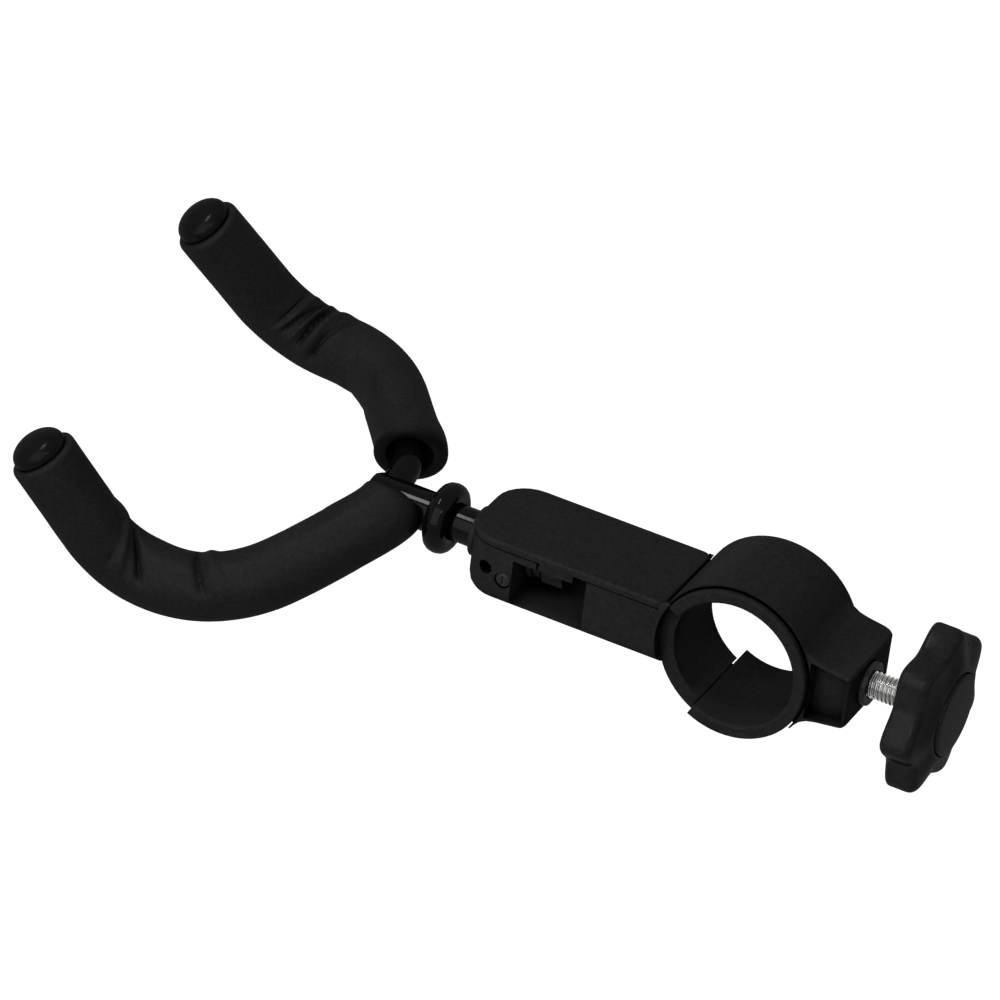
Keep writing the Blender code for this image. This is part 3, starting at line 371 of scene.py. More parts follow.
def powder_coat(colour):
    """Satin black powder coat: a fine orange peel, duller patches and slightly polished edges, with painted
    shade in pockets.
    """
    f = Finish("powder_coat", Specular_IOR_Level=0.0, Coat_Weight=0.025, Coat_Roughness=0.38)
    cloud = f.uneven(110.0, contrast=1.6)
    speck = f.uneven(800.0, contrast=2.6, detail=2.0)
    worn = f.edges()
    tone = (cloud * 0.4 + speck * 0.6 + worn * 0.5).clamped()
    # painted shade: the colour darkens in pockets and hollows, from ambient occlusion
    f.colour(f.mix((tone * 0.5 + 0.5) * f.recess(6.0 * MM), scaled(colour, 0.1), scaled(colour, 1.3)))
    f.rough(0.50 + (cloud - 0.5) * 0.14 - worn * 0.08)
    f.bump(f.grain(2600.0, detail=2.0), distance=0.03 * MM, strength=0.7)
    return f.material


def gloss_paint(colour):
    """Black gloss paint with faint waves in it."""
    f = Finish("gloss_paint", Specular_IOR_Level=0.0, Coat_Weight=0.11, Coat_Roughness=0.09)
    cloud = f.grain(160.0)
    f.colour(f.mix(cloud, scaled(colour, 0.8), scaled(colour, 1.4)))
    f.rough(0.10 + cloud * 0.10)
    f.bump(f.grain(300.0, detail=2.0), distance=0.02 * MM, strength=0.15)
    return f.material


def foam_skin(colour):
    """Matt closed-cell foam: tiny cells under a soft skin and cloudy rub marks, with painted shade in
    pockets, on the cut face at the mouth and in the bore.
    """
    f = Finish("foam_skin", Specular_IOR_Level=0.0, Coat_Weight=0.075, Coat_Roughness=0.5)
    cloud = f.uneven(85.0, contrast=1.4, detail=4.0)
    rub = f.uneven(900.0, contrast=2.6)
    cells = f.cells(2100.0)
    cut = f.node("ShaderNodeAttribute", {"attribute_name": "cut_face_shade"}, out="Fac")
    tone = (cloud * 0.45 + rub * 0.55).clamped() * 0.7 + 0.3
    # painted shade: darker in pockets, and much darker on the cut face at the mouth and in the bore
    shade = f.recess(4.0 * MM) * (1.0 - cut * 0.85)
    f.colour(f.mix(tone * shade, scaled(colour, 0.25), scaled(colour, 1.45)))
    f.rough(0.55 + (rub - 0.5) * 0.16)
    f.bump(cells * 0.6 + rub * 0.8, distance=0.10 * MM, strength=0.55)
    return f.material


def cap_rubber(colour):
    """Smooth black rubber with a slight bloom."""
    f = Finish("cap_rubber", Specular_IOR_Level=0.0, Coat_Weight=0.07, Coat_Roughness=0.2)
    cloud = f.uneven(150.0, contrast=1.8)
    f.colour(f.mix(cloud, scaled(colour, 0.7), scaled(colour, 1.3)))
    f.rough(0.24 + cloud * 0.10)
    f.bump(f.grain(1500.0, detail=2.0), distance=0.02 * MM, strength=0.4)
    return f.material


def knob_plastic(colour):
    """Black moulded plastic with a fine spark-eroded texture."""
    f = Finish("knob_plastic", Specular_IOR_Level=0.0, Coat_Weight=0.08, Coat_Roughness=0.24)
    cloud = f.uneven(140.0, contrast=2.0)
    speck = f.uneven(700.0, contrast=2.6, detail=2.0)
    fine = f.grain(3200.0, detail=2.0)
    worn = f.edges()
    tone = (cloud * 0.5 + speck * 0.5 + worn * 0.5).clamped()
    f.colour(f.mix(tone, scaled(colour, 0.55), scaled(colour, 1.45)))
    f.rough(0.40 + (cloud - 0.5) * 0.14 + (fine - 0.5) * 0.10)
    f.bump(fine, distance=0.025 * MM, strength=0.6)
    return f.material


def turned_metal(name, colour, roughness):
    """Plated or turned metal: fine rings from the tool, and a cloudy tone."""
    f = Finish(name, Metallic=1.0)
    cloud = f.grain(260.0)
    place = f.node("ShaderNodeTexCoord", out="Object")
    across = f.node("ShaderNodeSeparateXYZ", None, {"Vector": place}, out="X")
    marks = (across * 21000.0).sine() * 0.5 + 0.5
    f.colour(f.mix((cloud * 0.8 + marks * 0.2).clamped(), scaled(colour, 0.7), scaled(colour, 1.12)))
    f.rough(roughness + (cloud - 0.5) * 0.2)
    f.bump(marks + cloud, distance=0.01 * MM, strength=0.35)
    return f.material


def black_oxide(colour):
    """Blackened steel, a little oily."""
    f = Finish("black_oxide", Specular_IOR_Level=0.0, Coat_Weight=0.1, Coat_Roughness=0.15)
    cloud = f.grain(500.0)
    f.colour(f.mix(cloud, scaled(colour, 0.6), scaled(colour, 1.6)))
    f.rough(0.30 + cloud * 0.2)
    f.bump(f.grain(2500.0), distance=0.01 * MM, strength=0.4)
    return f.material


def nylon_moulding(colour):
    """Black nylon with a dull, slightly uneven skin."""
    f = Finish("nylon_moulding", Specular_IOR_Level=0.0, Coat_Weight=0.06, Coat_Roughness=0.4)
    cloud = f.grain(220.0)
    f.colour(f.mix(cloud, scaled(colour, 0.7), scaled(colour, 1.5)))
    f.rough(0.42 + cloud * 0.16)
    f.bump(f.grain(1800.0), distance=0.02 * MM, strength=0.5)
    return f.material


FINISHES = {
    "casting": lambda s: powder_coat(s.casting),
    "gloss_black": lambda s: gloss_paint(s.paint),
    "foam": lambda s: foam_skin(s.foam),
    "end_cap": lambda s: cap_rubber(s.rubber),
    "knob": lambda s: knob_plastic(s.plastic),
    "zinc": lambda s: turned_metal("zinc_plate", s.zinc, 0.26),
    "dark_steel": lambda s: black_oxide(s.steel),
    "brass": lambda s: turned_metal("turned_brass", s.brass, 0.25),
    "nylon": lambda s: nylon_moulding(s.nylon),
}
made_finishes = {}


def finish_for(slot):
    """The material of one of the record's slots, made once."""
    if slot not in made_finishes:
        made_finishes[slot] = FINISHES[slot](bpy.context.scene.hanger_finish)
    return made_finishes[slot]


# ------------------------------------------------------------------ mesh tools

def skin(rings, closed=False):
    """Faces between rings of points; the ends are filled unless the rings close on themselves."""
    bm = bmesh.new()
    rows = [[bm.verts.new(p) for p in ring] for ring in rings]
    count = len(rows[0])
    pairs = list(zip(rows, rows[1:]))
    if closed:
        pairs.append((rows[-1], rows[0]))
    for low, high in pairs:
        for i in range(count):
            j = (i + 1) % count
            bm.faces.new((low[i], low[j], high[j], high[i]))
    if not closed:
        bm.faces.new(list(reversed(rows[0])))
        bm.faces.new(rows[-1])
    bmesh.ops.recalc_face_normals(bm, faces=bm.faces)
    return bm


def circle(place, along, across, radius, count, push=0.0):
    """Points of a ring round a line."""
    other = along.cross(across)
    return [place + along * push + (across * math.cos(2 * math.pi * i / count)
                                    + other * math.sin(2 * math.pi * i / count)) * radius
            for i in range(count)]


def turned_rings(profile, count, place, axis):
    """Rings of a turned piece: each profile point is a distance along the axis and a radius."""
    across = axis.orthogonal().normalized()
    return [circle(place + axis * x, axis, across, r, count) for x, r in profile]


def new_piece(name, bm, slot, body, replaced, sharp=38.0):
    """Makes the object of a piece, gives it its finish and ties it to the frame."""
    mesh = bpy.data.meshes.new(name)
    bm.to_mesh(mesh)
    bm.free()
    mesh.polygons.foreach_set("use_smooth", [True] * len(mesh.polygons))
    mesh.set_sharp_from_angle(angle=math.radians(sharp))
    piece = bpy.data.objects.new(name, mesh)
    bpy.context.scene.collection.objects.link(piece)
    mesh.materials.append(finish_for(slot))
    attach(piece, body)
    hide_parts(*replaced)
    return piece


def dress(node, slot, edge=0.0):
    """Gives a node of the frame its finish, and rounds its sharp edges."""
    piece = frame["nodes"][node]
    piece.data.materials.clear()
    piece.data.materials.append(finish_for(slot))
    weld = piece.modifiers.new("weld", "WELD")
    weld.merge_threshold = WELD_GAP
    flat = piece.modifiers.new("flat faces", "DECIMATE")
    flat.decimate_type = "DISSOLVE"
    flat.angle_limit = FLAT_ANGLE
    if edge:
        round_edges = piece.modifiers.new("edges", "BEVEL")
        round_edges.width = edge
        round_edges.segments = 2
        round_edges.limit_method = "ANGLE"
        round_edges.angle_limit = EDGE_ANGLE
    shade = piece.modifiers.new("shading", "WEIGHTED_NORMAL")
    shade.keep_sharp = False


def cut_away(piece, bm):
    """Cuts a form out of a piece."""
    mesh = bpy.data.meshes.new("tool")
    bm.to_mesh(mesh)
    bm.free()
    tool = bpy.data.objects.new("tool", mesh)
    bpy.context.scene.collection.objects.link(tool)
    cut = piece.modifiers.new("cut", "BOOLEAN")
    cut.operation = "DIFFERENCE"
    cut.solver = "EXACT"
    cut.object = tool
    bpy.context.view_layer.update()
    held = piece.evaluated_get(bpy.context.evaluated_depsgraph_get())
    done = bpy.data.meshes.new_from_object(held)
    piece.modifiers.remove(cut)
    old = piece.data
    piece.data = done
    bpy.data.meshes.remove(old)
    bpy.data.objects.remove(tool)
    bpy.data.meshes.remove(mesh)


def smooth(t):
    """Eases 0 to 1, and holds outside."""
    t = min(1.0, max(0.0, t))
    return t * t * (3.0 - 2.0 * t)


def rounded(away, reach):
    """How far a rounded edge falls back at a distance from its end, as a share that is 0 past its reach."""
    t = max(0.0, 1.0 - away / reach)
    return 1.0 - math.sqrt(max(0.0, 1.0 - t * t))


def angle_from(inside, out, along):
    """Angle round a sleeve from the inside of a bend to a direction."""
    flat = (inside - along * inside.dot(along)).normalized()
    return math.atan2(out.dot(along.cross(flat)), out.dot(flat))


# ------------------------------------------------------------------ the yoke's line

def arm_corners(side):
    """Corners of one arm's line, from the hub to the tip, at rest."""
    roll = bpy.context.scene.hanger_yoke.roll
    turn = Matrix.Rotation(roll, 3, "X")
    place = Vector((HUB_X, 0.0, SWIVEL_PLACE.z))
    points = [(0.0, 0.0, 0.0)] + [b[:3] for b in ARM_BENDS] + [ARM_TIP]
    return [place + turn @ Vector((-f, s * side, u)) for f, s, u in points]


def arm_line(side, steps=26):
    """The arm's centre line, with round bends that each take up less than half of a straight."""
    corners = arm_corners(side)
    line = [corners[0]]
    for i, (*_, bend_radius) in enumerate(ARM_BENDS, start=1):
        before = corners[i - 1] - corners[i]
        after = corners[i + 1] - corners[i]
        half = 0.5 * before.angle(after)
        most = 0.49 * min(before.length, after.length)
        reach = min(bend_radius / math.tan(half), most)
        before.normalize()
        after.normalize()
        radius = reach * math.tan(half)
        centre = corners[i] + (before + after).normalized() * (radius / math.sin(half))
        first = corners[i] + before * reach - centre
        last = corners[i] + after * reach - centre
        sweep = first.angle(last)
        for k in range(steps + 1):
            t = k / steps
            line.append(centre + (first * math.sin((1 - t) * sweep) + last * math.sin(t * sweep))
                        / math.sin(sweep))
    line.append(corners[-1])
    return line


def bend_inside(side, bend):
    """Direction from a bend towards its centre."""
    corners = arm_corners(side)
    k = bend + 1
    before = (corners[k - 1] - corners[k]).normalized()
    after = (corners[k + 1] - corners[k]).normalized()
    return (before + after).normalized()


def spaced(line, start, step):
    """Points at even steps along a line from a distance on, each with its distance."""
    lengths = [0.0]
    for a, b in zip(line, line[1:]):
        lengths.append(lengths[-1] + (b - a).length)
    total = lengths[-1]
    count = max(2, round((total - start) / step))
    out = []
    k = 0
    for i in range(count + 1):
        want = start + (total - start) * i / count
        while k < len(lengths) - 2 and lengths[k + 1] < want:
            k += 1
        out.append((want, line[k].lerp(line[k + 1], (want - lengths[k]) / (lengths[k + 1] - lengths[k]))))
    return out


def with_frames(points):
    """Each point with its direction along the line and a direction across it, without twist."""
    out = []
    across = Vector((0.0, 0.0, 1.0))
    for i, (run, place) in enumerate(points):
        along = (points[min(i + 1, len(points) - 1)][1] - points[max(i - 1, 0)][1]).normalized()
        across = (across - along * across.dot(along)).normalized()
        out.append((run, place, along, across))
    return out


# ------------------------------------------------------------------ pieces

def foam_height(side, run, out, along, insides):
    """How far the foam's skin stands above or below its round form at one place."""
    height = 0.0
    for bend, place, lean, depth, width, first, last in FOLDS[side]:
        turn = angle_from(insides[bend], out, along)
        reach = smooth((turn - math.radians(first)) / FOLD_FADE)
        reach *= smooth((math.radians(last) - turn) / FOLD_FADE)
        away = (run - place - lean * math.sin(turn)) / width
        height -= reach * depth * (0.7 * math.exp(-away ** 2) + 0.3 * math.exp(-(away / 3.0) ** 2))
    for bend, start, end, lean, rise in PUFFS[side]:
        turn = angle_from(insides[bend], out, along)
        t = (run - lean * math.sin(turn) - start) / (end - start)
        if 0.0 < t < 1.0:
            height += rise * smooth(math.cos(turn)) * math.sin(math.pi * t) ** 2
    return height


def sleeve_skin(side, line):
    """Rings of the foam's skin, with its folds, its flared mouth and its two rounded edges."""
    foam_radius = bpy.context.scene.hanger_yoke.foam_radius
    flare = MOUTHS[side][0]
    insides = {bend: bend_inside(side, bend) for bend in range(len(ARM_BENDS))}
    start, end = line[0][0], line[-1][0]
    rings = []
    for run, place, along, across in line:
        other = along.cross(across)
        mouth = flare * math.exp(-((run - start) / FLARE_RUN) ** 2)
        back = LIP_BACK * rounded(run - start, LIP_ROUND) + TIP_BACK * rounded(end - run, TIP_ROUND)
        ring = []
        for i in range(SLEEVE_SIDES):
            a = 2 * math.pi * i / SLEEVE_SIDES
            out = across * math.cos(a) + other * math.sin(a)
            spot = place + out * foam_radius
            radius = foam_radius + foam_height(side, run, out, along, insides) - back
            radius += sum(height * noise.noise(spot * waves) for height, waves in UNEVEN)
            radius += mouth * (0.4 + 0.6 * max(0.0, out.x))
            ring.append(place + out * radius)
        rings.append(ring)
    return rings


def sleeve_bore(line):
    """Rings of the foam's bore: close round the rod, wide at the mouth and where the end cap sits."""
    sizes = bpy.context.scene.hanger_yoke
    start, end = line[0][0], line[-1][0]
    fit = sizes.rod_radius + ROD_GAP
    rings = []
    for run, place, along, across in line[::2]:
        radius = fit + (sizes.mouth_radius - fit) * smooth(1.0 - (run - start) / FLARE_RUN)
        if end - run < CAP_SEAT_DEPTH:
            radius = CAP_SEAT_RADIUS
        rings.append(circle(place, along, across, radius, SLEEVE_SIDES))
    return rings


def sleeve_rim(line):
    """Rings of the slightly domed face where the foam is cut, from the bore to the skin."""
    sizes = bpy.context.scene.hanger_yoke
    _, place, along, across = line[0]
    radii = (sizes.mouth_radius + RIM_IN, 0.5 * (sizes.foam_radius + sizes.mouth_radius),
             sizes.foam_radius - RIM_OUT)
    return [circle(place, along, across, radius, SLEEVE_SIDES, dome) for radius, dome in zip(radii, RIM_DOME)]


def make_sleeve(side, name, node, start):
    """A foam sleeve with folds inside its bends, and an open mouth that is drawn aside at the hub."""
    line = with_frames(spaced(arm_line(side), start, SLEEVE_STEP))
    rim, skin_rings, bore = sleeve_rim(line), sleeve_skin(side, line), sleeve_bore(line)
    bm = skin(rim + skin_rings + bore[::-1], closed=True)
    bm.verts.index_update()
    cut_face_shade = bm.verts.layers.float.new("cut_face_shade")
    _, push, lean, slide, rise = MOUTHS[side]
    _, _, along, across = line[0]
    other = along.cross(across)
    innermost = len(skin_rings) + len(bore) - 1
    for vert in bm.verts:
        ring, spoke = divmod(vert.index, SLEEVE_SIDES)
        ring -= len(rim)
        on_skin = 0 <= ring < len(skin_rings)
        # painted shade mask: full on the cut face and the bore, fading out over the first rings of the skin
        vert[cut_face_shade] = max(0.0, 1.0 - ring / CUT_SHADE_RINGS) if on_skin else 1.0
        from_mouth = min(max(ring, 0), 2 * (innermost - ring)) * SLEEVE_STEP
        a = 2 * math.pi * spoke / SLEEVE_SIDES
        out = across * math.cos(a) + other * math.sin(a)
        share = smooth(1.0 - from_mouth / MOUTH_RUN)
        vert.co += slide * share - along * share * (push + lean * max(0.0, -out.x))
        vert.co += rise * smooth(1.0 - from_mouth / RISE_RUN)
    sleeve = new_piece(name, bm, "foam", "yoke", [node], sharp=60.0)


def make_rod():
    """The bent rod, in one length from tip to tip."""
    rod_radius = bpy.context.scene.hanger_yoke.rod_radius
    near = spaced(arm_line(NEAR), 0.0, ROD_STEP)
    far = spaced(arm_line(FAR), 0.0, ROD_STEP)
    line = with_frames([(0.0, place) for _, place in reversed(near)] + far[1:])
    rings = [circle(place, along, across, rod_radius, ROD_SIDES) for _, place, along, across in line]
    new_piece("bent_rod", skin(rings), "gloss_black", "yoke", ["yoke_rod"])


def make_end_cap(side, name, node):
    """A domed rubber cap over the rod's end, with its skirt in the foam."""
    sizes = bpy.context.scene.hanger_yoke
    line = arm_line(side)
    axis = (line[-1] - line[-2]).normalized()
    under, edge, side_height = 0.3 * MM, 0.5 * MM, 1.1 * MM
    skirt_in, skirt_out, skirt_end = 4.8 * MM, 6.2 * MM, -7.0 * MM
    shoulder = under + side_height
    rise = sizes.cap_height - side_height
    profile = [(under, skirt_in), (skirt_end, skirt_in), (skirt_end, skirt_out), (under, skirt_out),
               (under, sizes.cap_radius - edge), (under + 0.2 * edge, sizes.cap_radius - 0.2 * edge),
               (under + edge, sizes.cap_radius)]
    dome_steps = 14
    for i in range(dome_steps):
        a = 0.5 * math.pi * i / dome_steps
        profile.append((shoulder + rise * math.sin(a), sizes.cap_radius * math.cos(a) ** DOME_FULLNESS))
    profile.append((shoulder + rise, TIP_FLAT))
    rings = turned_rings(profile, END_CAP_SIDES, line[-1], axis)
    new_piece(name, skin(rings), "end_cap", "yoke", [node], sharp=50.0)


def quarter_turn(steps):
    """Angles from nothing to a quarter turn, in even steps."""
    return [0.5 * math.pi * i / steps for i in range(steps + 1)]


def knob_edge(angle, inset):
    """The knob's lobed outline, set in by a distance."""
    sizes = bpy.context.scene.hanger_clamp
    wave = 0.5 - 0.5 * math.cos(sizes.knob_lobes * (angle - sizes.knob_phase))
    return sizes.knob_radius - inset - sizes.knob_valley * wave ** VALLEY_SHAPE


def knob_ring(x, inset=0.0, lobed=0.0, plain=0.0):
    """A ring of the knob: a share of its lobed outline, and a plain radius on top."""
    steps = bpy.context.scene.hanger_clamp.knob_lobes * LOBE_STEPS
    ring = []
    for i in range(steps):
        a = 2 * math.pi * i / steps
        radius = knob_edge(a, inset) * lobed + plain
        ring.append(Vector((x, radius * math.cos(a), radius * math.sin(a))))
    return ring


def make_knob():
    """The lobed knob: a boss at the back, rounded edges, and a raised rim round the cap's seat."""
    foot, top = KNOB_LOW.x, KNOB_HIGH.x
    back = foot + 1.6 * MM
    front = top - 2.2 * MM
    boss, hole, hole_end = 6.2 * MM, 4.9 * MM, back + 5.0 * MM
    boss_edge, hole_edge = 0.4 * MM, 0.3 * MM
    back_round, front_round = 1.8 * MM, 3.0 * MM
    rings = [knob_ring(x, plain=radius) for x, radius in (
        (hole_end, hole), (foot + hole_edge, hole), (foot, hole + hole_edge), (foot, boss - boss_edge),
        (foot + boss_edge, boss), (back - boss_edge, boss), (back, boss + boss_edge))]
    for a in quarter_turn(5):
        rings.append(knob_ring(back + back_round * (1 - math.cos(a)), back_round * (1 - math.sin(a)), 1.0))
    for a in quarter_turn(8):
        rings.append(knob_ring(front - front_round * (1 - math.sin(a)), front_round * (1 - math.cos(a)), 1.0))
    slope, slope_end, rim = 7.2 * MM, 14.5 * MM, 13.3 * MM
    for rise in (0.25, 0.5, 0.75):
        rings.append(knob_ring(front + rise ** 0.8 * (top - front), front_round + rise * slope,
                               1.0 - rise, slope_end * rise))
    seat, seat_depth, seat_edge = 12.5 * MM, 1.2 * MM, 0.1 * MM
    rings += [knob_ring(x, plain=radius) for x, radius in (
        (top, rim), (top - seat_edge, seat + seat_edge), (top - seat_depth, seat))]
    new_piece("lobed_knob", skin(rings), "knob", "knob", ["knob_body"], sharp=42.0)


def make_knob_cap():
    """The cap in the knob's front, slightly domed."""
    low, high = CAP_LOW.x, CAP_HIGH.x
    edge = CAP_HIGH.z
    # its rounded rim: down from the front, and in from the edge
    rim = ((0.75 * MM, 0.0), (0.45 * MM, 0.12 * MM), (0.25 * MM, 0.45 * MM))
    profile = [(low, edge)] + [(high - down, edge - inward) for down, inward in rim]
    dome, middle, dome_width = 0.2 * MM, 0.2 * MM, edge - 0.9 * MM
    dome_steps = 9
    for i in range(dome_steps):
        radius = dome_width * (1.0 - i / dome_steps) + middle
        profile.append((high - dome * (radius / edge) ** 2, radius))
    rings = turned_rings(profile, 64, Vector((0.0, 0.0, 0.0)), Vector((1.0, 0.0, 0.0)))
    new_piece("cap_of_knob", skin(rings), "knob", "knob", ["knob_cap"])


def make_clamp_screw():
    """The clamp screw, with a real helical thread."""
    sizes = bpy.context.scene.hanger_clamp
    root = sizes.thread_radius - sizes.thread_depth
    low, high = SCREW_LOW.x, SCREW_HIGH.x
    start, stop = low + PLAIN_POINT, high - PLAIN_HEAD
    step = sizes.thread_pitch / TURN_STEPS
    places = [low, low + POINT_EDGE]
    places += [start + step * i for i in range(int((stop - start) / step))]
    places += [stop, high]
    rings = []
    for x in places:
        show = smooth((x - start) / sizes.thread_pitch) * smooth((stop - x) / sizes.thread_pitch)
        ring = []
        for i in range(SCREW_SIDES):
            a = 2 * math.pi * i / SCREW_SIDES
            turn = (x / sizes.thread_pitch - i / SCREW_SIDES) % 1.0
            valley = min(1.0, max(0.0, (abs(turn - 0.5) - CREST_HALF) / FLANK))
            radius = root + sizes.thread_depth * (1.0 - valley) * show
            if x == low:
                radius = root - POINT_IN
            ring.append(Vector((x, radius * math.cos(a), radius * math.sin(a))))
        rings.append(ring)
    new_piece("threaded_screw", skin(rings), "zinc", "knob", ["clamp_screw"], sharp=50.0)


def make_cover_screw(node):
    """A pan-head screw under the arm, with a cross recess in its head."""
    low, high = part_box(node)
    centre = 0.5 * (low + high)
    place = Vector((centre.x, centre.y, low.z))
    radius = 0.5 * (high.x - low.x)
    crown, head, shank = 1.35 * MM, 2.2 * MM, 1.5 * MM
    flat = 0.35 * radius
    profile = [(crown * (1 - math.cos(a)), flat + (radius - flat) * math.sin(a)) for a in quarter_turn(6)]
    profile += [(head, radius), (head, shank), (high.z - low.z, shank)]
    rings = turned_rings(profile, 36, place, Vector((0.0, 0.0, 1.0)))
    screw = new_piece(node + "_cross", skin(rings), "zinc", "arm", [node])
    # each screw stopped at its own angle when it was driven in
    turn = Matrix.Rotation(math.radians(35.0 + 9000.0 * centre.x), 4, "Z")
    slot_size = Matrix.Diagonal((3.1 * MM, 0.62 * MM, 2.4 * MM, 1.0))
    for quarter in (0.0, 90.0):
        bm = bmesh.new()
        bmesh.ops.create_cube(bm, size=1.0)
        across = Matrix.Rotation(math.radians(quarter), 4, "Z")
        bmesh.ops.transform(bm, matrix=Matrix.Translation(place) @ turn @ across @ slot_size, verts=bm.verts)
        cut_away(screw, bm)


# ------------------------------------------------------------------ stage

def seen_directly(nodes):
    """1 for what is seen, also in or through another surface, and 0 for the light that falls on things."""
    rays = [nodes.node("ShaderNodeLightPath", out=kind)
            for kind in ("Is Camera Ray", "Is Glossy Ray", "Is Transmission Ray")]
    return (rays[0] + rays[1] + rays[2]).clamped()


def floor_finish():
    """Pale floor that is white where it is seen."""
    f = Finish("pale_floor", Specular_IOR_Level=0.0, Emission_Strength=1.0)
    f.colour((FLOOR_GREY, FLOOR_GREY, FLOOR_GREY, 1.0))
    f.rough(0.9)
    f.put(f.shader.inputs["Emission Color"], f.mix(seen_directly(f), (0.0, 0.0, 0.0), (1.0, 1.0, 1.0)))
    return f.material


def make_floor(drop):
    """A wide level floor below the hanger."""
    corners = [(-FLOOR_HALF, -FLOOR_HALF), (FLOOR_HALF, -FLOOR_HALF), (FLOOR_HALF, FLOOR_HALF),
               (-FLOOR_HALF, FLOOR_HALF)]
    mesh = bpy.data.meshes.new("floor")
    mesh.from_pydata([(x, y, -drop) for x, y in corners], [], [(0, 1, 2, 3)])
    mesh.materials.append(floor_finish())
    floor = bpy.data.objects.new("floor", mesh)
    bpy.context.scene.collection.objects.link(floor)


def make_sky(level):
    """A world that is white where it is seen, and gives an even light of a lower level."""
    world = bpy.data.worlds.new("studio")
    world.use_nodes = True
    bpy.context.scene.world = world
    sky = Nodes(world.node_tree)
    shade = sky.tree.nodes.new("ShaderNodeBackground")
    sky.put(shade.inputs["Color"], (1.0, 1.0, 1.0, 1.0))
    sky.put(shade.inputs["Strength"], seen_directly(sky) * (1.0 - level) + level)
    output = sky.tree.nodes.new("ShaderNodeOutputWorld")
    sky.tree.links.new(shade.outputs[0], output.inputs["Surface"])


def make_lamp(name, direction, distance, size, level, target):
    """A soft lamp, wide across x and long up from it; level is what it adds to a surface that faces it."""
    light = bpy.data.lights.new(name, "AREA")
    light.shape = "RECTANGLE"
    light.size, light.size_y = size
    light.energy = level * math.pi ** 2 * distance ** 2
    lamp = bpy.data.objects.new(name, light)
    bpy.context.scene.collection.objects.link(lamp)
    away = Vector(direction).normalized()
    lamp.location = target + away * distance
    up = away.cross(Vector((1.0, 0.0, 0.0))).normalized()
    lamp.rotation_euler = Matrix((up.cross(away), up, away)).transposed().to_euler()


def make_camera(target):
    """The camera, turned round the clamp's bore and aimed at the target."""
    stage = bpy.context.scene.hanger_stage
    optics = bpy.data.cameras.new("camera")
    optics.lens = stage.lens
    optics.sensor_width = 36.0
    optics.clip_end = 20.0
    camera = bpy.data.objects.new("camera", optics)
    bpy.context.scene.collection.objects.link(camera)
    level = math.cos(stage.elevation)
    place = stage.distance * Vector((math.sin(stage.azimuth) * level, -math.cos(stage.azimuth) * level,
                                     math.sin(stage.elevation)))
    aim = (target - place).to_track_quat("-Z", "Y").to_matrix()
    turn = aim @ Matrix.Rotation(stage.camera_roll, 3, "Z")
    camera.matrix_world = Matrix.Translation(place) @ turn.to_4x4()
    bpy.context.scene.camera = camera


# ------------------------------------------------------------------ operators

class HANGER_OT_castings(bpy.types.Operator):
    """Finish the arm, its cover, the collar and the jaw"""
    bl_idname = "hanger.castings"
    bl_label = "Castings"

    def execute(self, context):
        edge = context.scene.hanger_clamp.casting_edge
        for node, share in CASTINGS.items():
            dress(node, "casting", edge * share)
        return {"FINISHED"}


class HANGER_OT_hardware(bpy.types.Operator):
    """Finish the nut, the washers, the insert, the bushes and the small screws"""
    bl_idname = "hanger.hardware"
    bl_label = "Hardware"

    def execute(self, context):
        edge = context.scene.hanger_clamp.hardware_edge
        for node, slot in HARDWARE.items():
            dress(node, slot, edge)
        for node in COVER_SCREWS:
            make_cover_screw(node)
        return {"FINISHED"}


class HANGER_OT_swivel(bpy.types.Operator):
    """Finish the swivel shaft and its thrust collar"""
    bl_idname = "hanger.swivel"
    bl_label = "Swivel"

    def execute(self, context):
        edge = context.scene.hanger_clamp.hardware_edge
        dress("swivel_shaft", "gloss_black", edge)
        dress("thrust_collar", "gloss_black")
        return {"FINISHED"}


class HANGER_OT_rod(bpy.types.Operator):
    """Make the bent rod"""
    bl_idname = "hanger.rod"
    bl_label = "Rod"

    def execute(self, context):
        make_rod()
        return {"FINISHED"}


class HANGER_OT_foam_sleeves(bpy.types.Operator):
    """Make the two foam sleeves"""
    bl_idname = "hanger.foam_sleeves"
    bl_label = "Foam sleeves"

    def execute(self, context):
        sizes = context.scene.hanger_yoke
        make_sleeve(NEAR, "foam_near", "foam_sleeve_near", sizes.start_near)
        make_sleeve(FAR, "foam_far", "foam_sleeve_far", sizes.start_far)
        return {"FINISHED"}


class HANGER_OT_end_caps(bpy.types.Operator):
    """Make the two end caps"""
    bl_idname = "hanger.end_caps"
    bl_label = "End caps"

    def execute(self, context):
        make_end_cap(NEAR, "cap_near", "end_cap_near")
        make_end_cap(FAR, "cap_far", "end_cap_far")
        return {"FINISHED"}


class HANGER_OT_clamp_screw(bpy.types.Operator):
    """Make the threaded clamp screw"""
    bl_idname = "hanger.clamp_screw"
    bl_label = "Clamp screw"

    def execute(self, context):
        make_clamp_screw()
        return {"FINISHED"}


class HANGER_OT_knob(bpy.types.Operator):
    """Make the lobed knob and its cap"""
    bl_idname = "hanger.knob"
    bl_label = "Knob"

    def execute(self, context):
        make_knob()
        make_knob_cap()
        return {"FINISHED"}


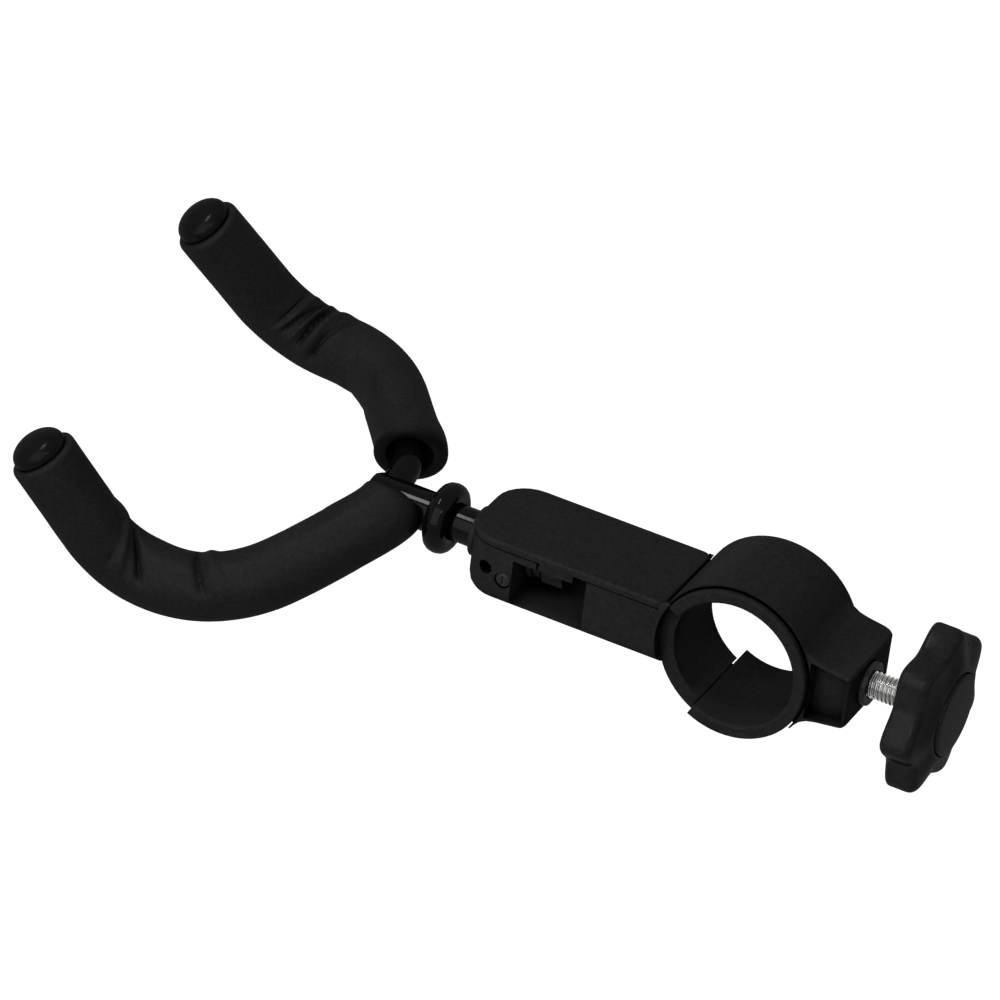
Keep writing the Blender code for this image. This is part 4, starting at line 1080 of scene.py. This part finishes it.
class HANGER_OT_stage(bpy.types.Operator):
    """Set up the floor, the lamps and the camera"""
    bl_idname = "hanger.stage"
    bl_label = "Stage"

    def execute(self, context):
        stage = context.scene.hanger_stage
        target = Vector(stage.target)
        make_floor(stage.floor_drop)
        make_sky(stage.sky_level)
        for name, (direction, distance, size, level) in LAMPS.items():
            make_lamp(name, direction, distance, size, getattr(stage, level), target)
        make_camera(target)
        context.scene.view_settings.view_transform = "Standard"
        return {"FINISHED"}


class HANGER_PT_panel(bpy.types.Panel):
    """The hanger's pieces and settings"""
    bl_idname = "HANGER_PT_panel"
    bl_label = "Guitar hanger"
    bl_space_type = "VIEW_3D"
    bl_region_type = "UI"
    bl_category = "Hanger"

    def draw(self, context):
        for operator in OPERATORS:
            self.layout.operator(operator.bl_idname)
        for name, group in GROUPS.items():
            box = self.layout.box()
            box.label(text=group.__doc__)
            for key in group.__annotations__:
                box.prop(getattr(context.scene, name), key)


OPERATORS = (HANGER_OT_castings, HANGER_OT_hardware, HANGER_OT_swivel, HANGER_OT_rod, HANGER_OT_foam_sleeves,
             HANGER_OT_end_caps, HANGER_OT_clamp_screw, HANGER_OT_knob, HANGER_OT_stage)
GROUPS = {"hanger_yoke": YokeSettings, "hanger_clamp": ClampSettings, "hanger_finish": FinishSettings,
          "hanger_stage": StageSettings}


def register():
    """Adds the settings, the operators and the panel."""
    for name, group in GROUPS.items():
        bpy.utils.register_class(group)
        setattr(bpy.types.Scene, name, PointerProperty(type=group))
    for operator in OPERATORS:
        bpy.utils.register_class(operator)
    bpy.utils.register_class(HANGER_PT_panel)


def unregister():
    """Takes them away again."""
    bpy.utils.unregister_class(HANGER_PT_panel)
    for operator in reversed(OPERATORS):
        bpy.utils.unregister_class(operator)
    for name, group in GROUPS.items():
        delattr(bpy.types.Scene, name)
        bpy.utils.unregister_class(group)


def main():
    """Builds every piece and the stage."""
    register()
    for operator in OPERATORS:
        name = operator.bl_idname.removeprefix("hanger.")
        getattr(bpy.ops.hanger, name)()


if __name__ == "__main__":
    main()
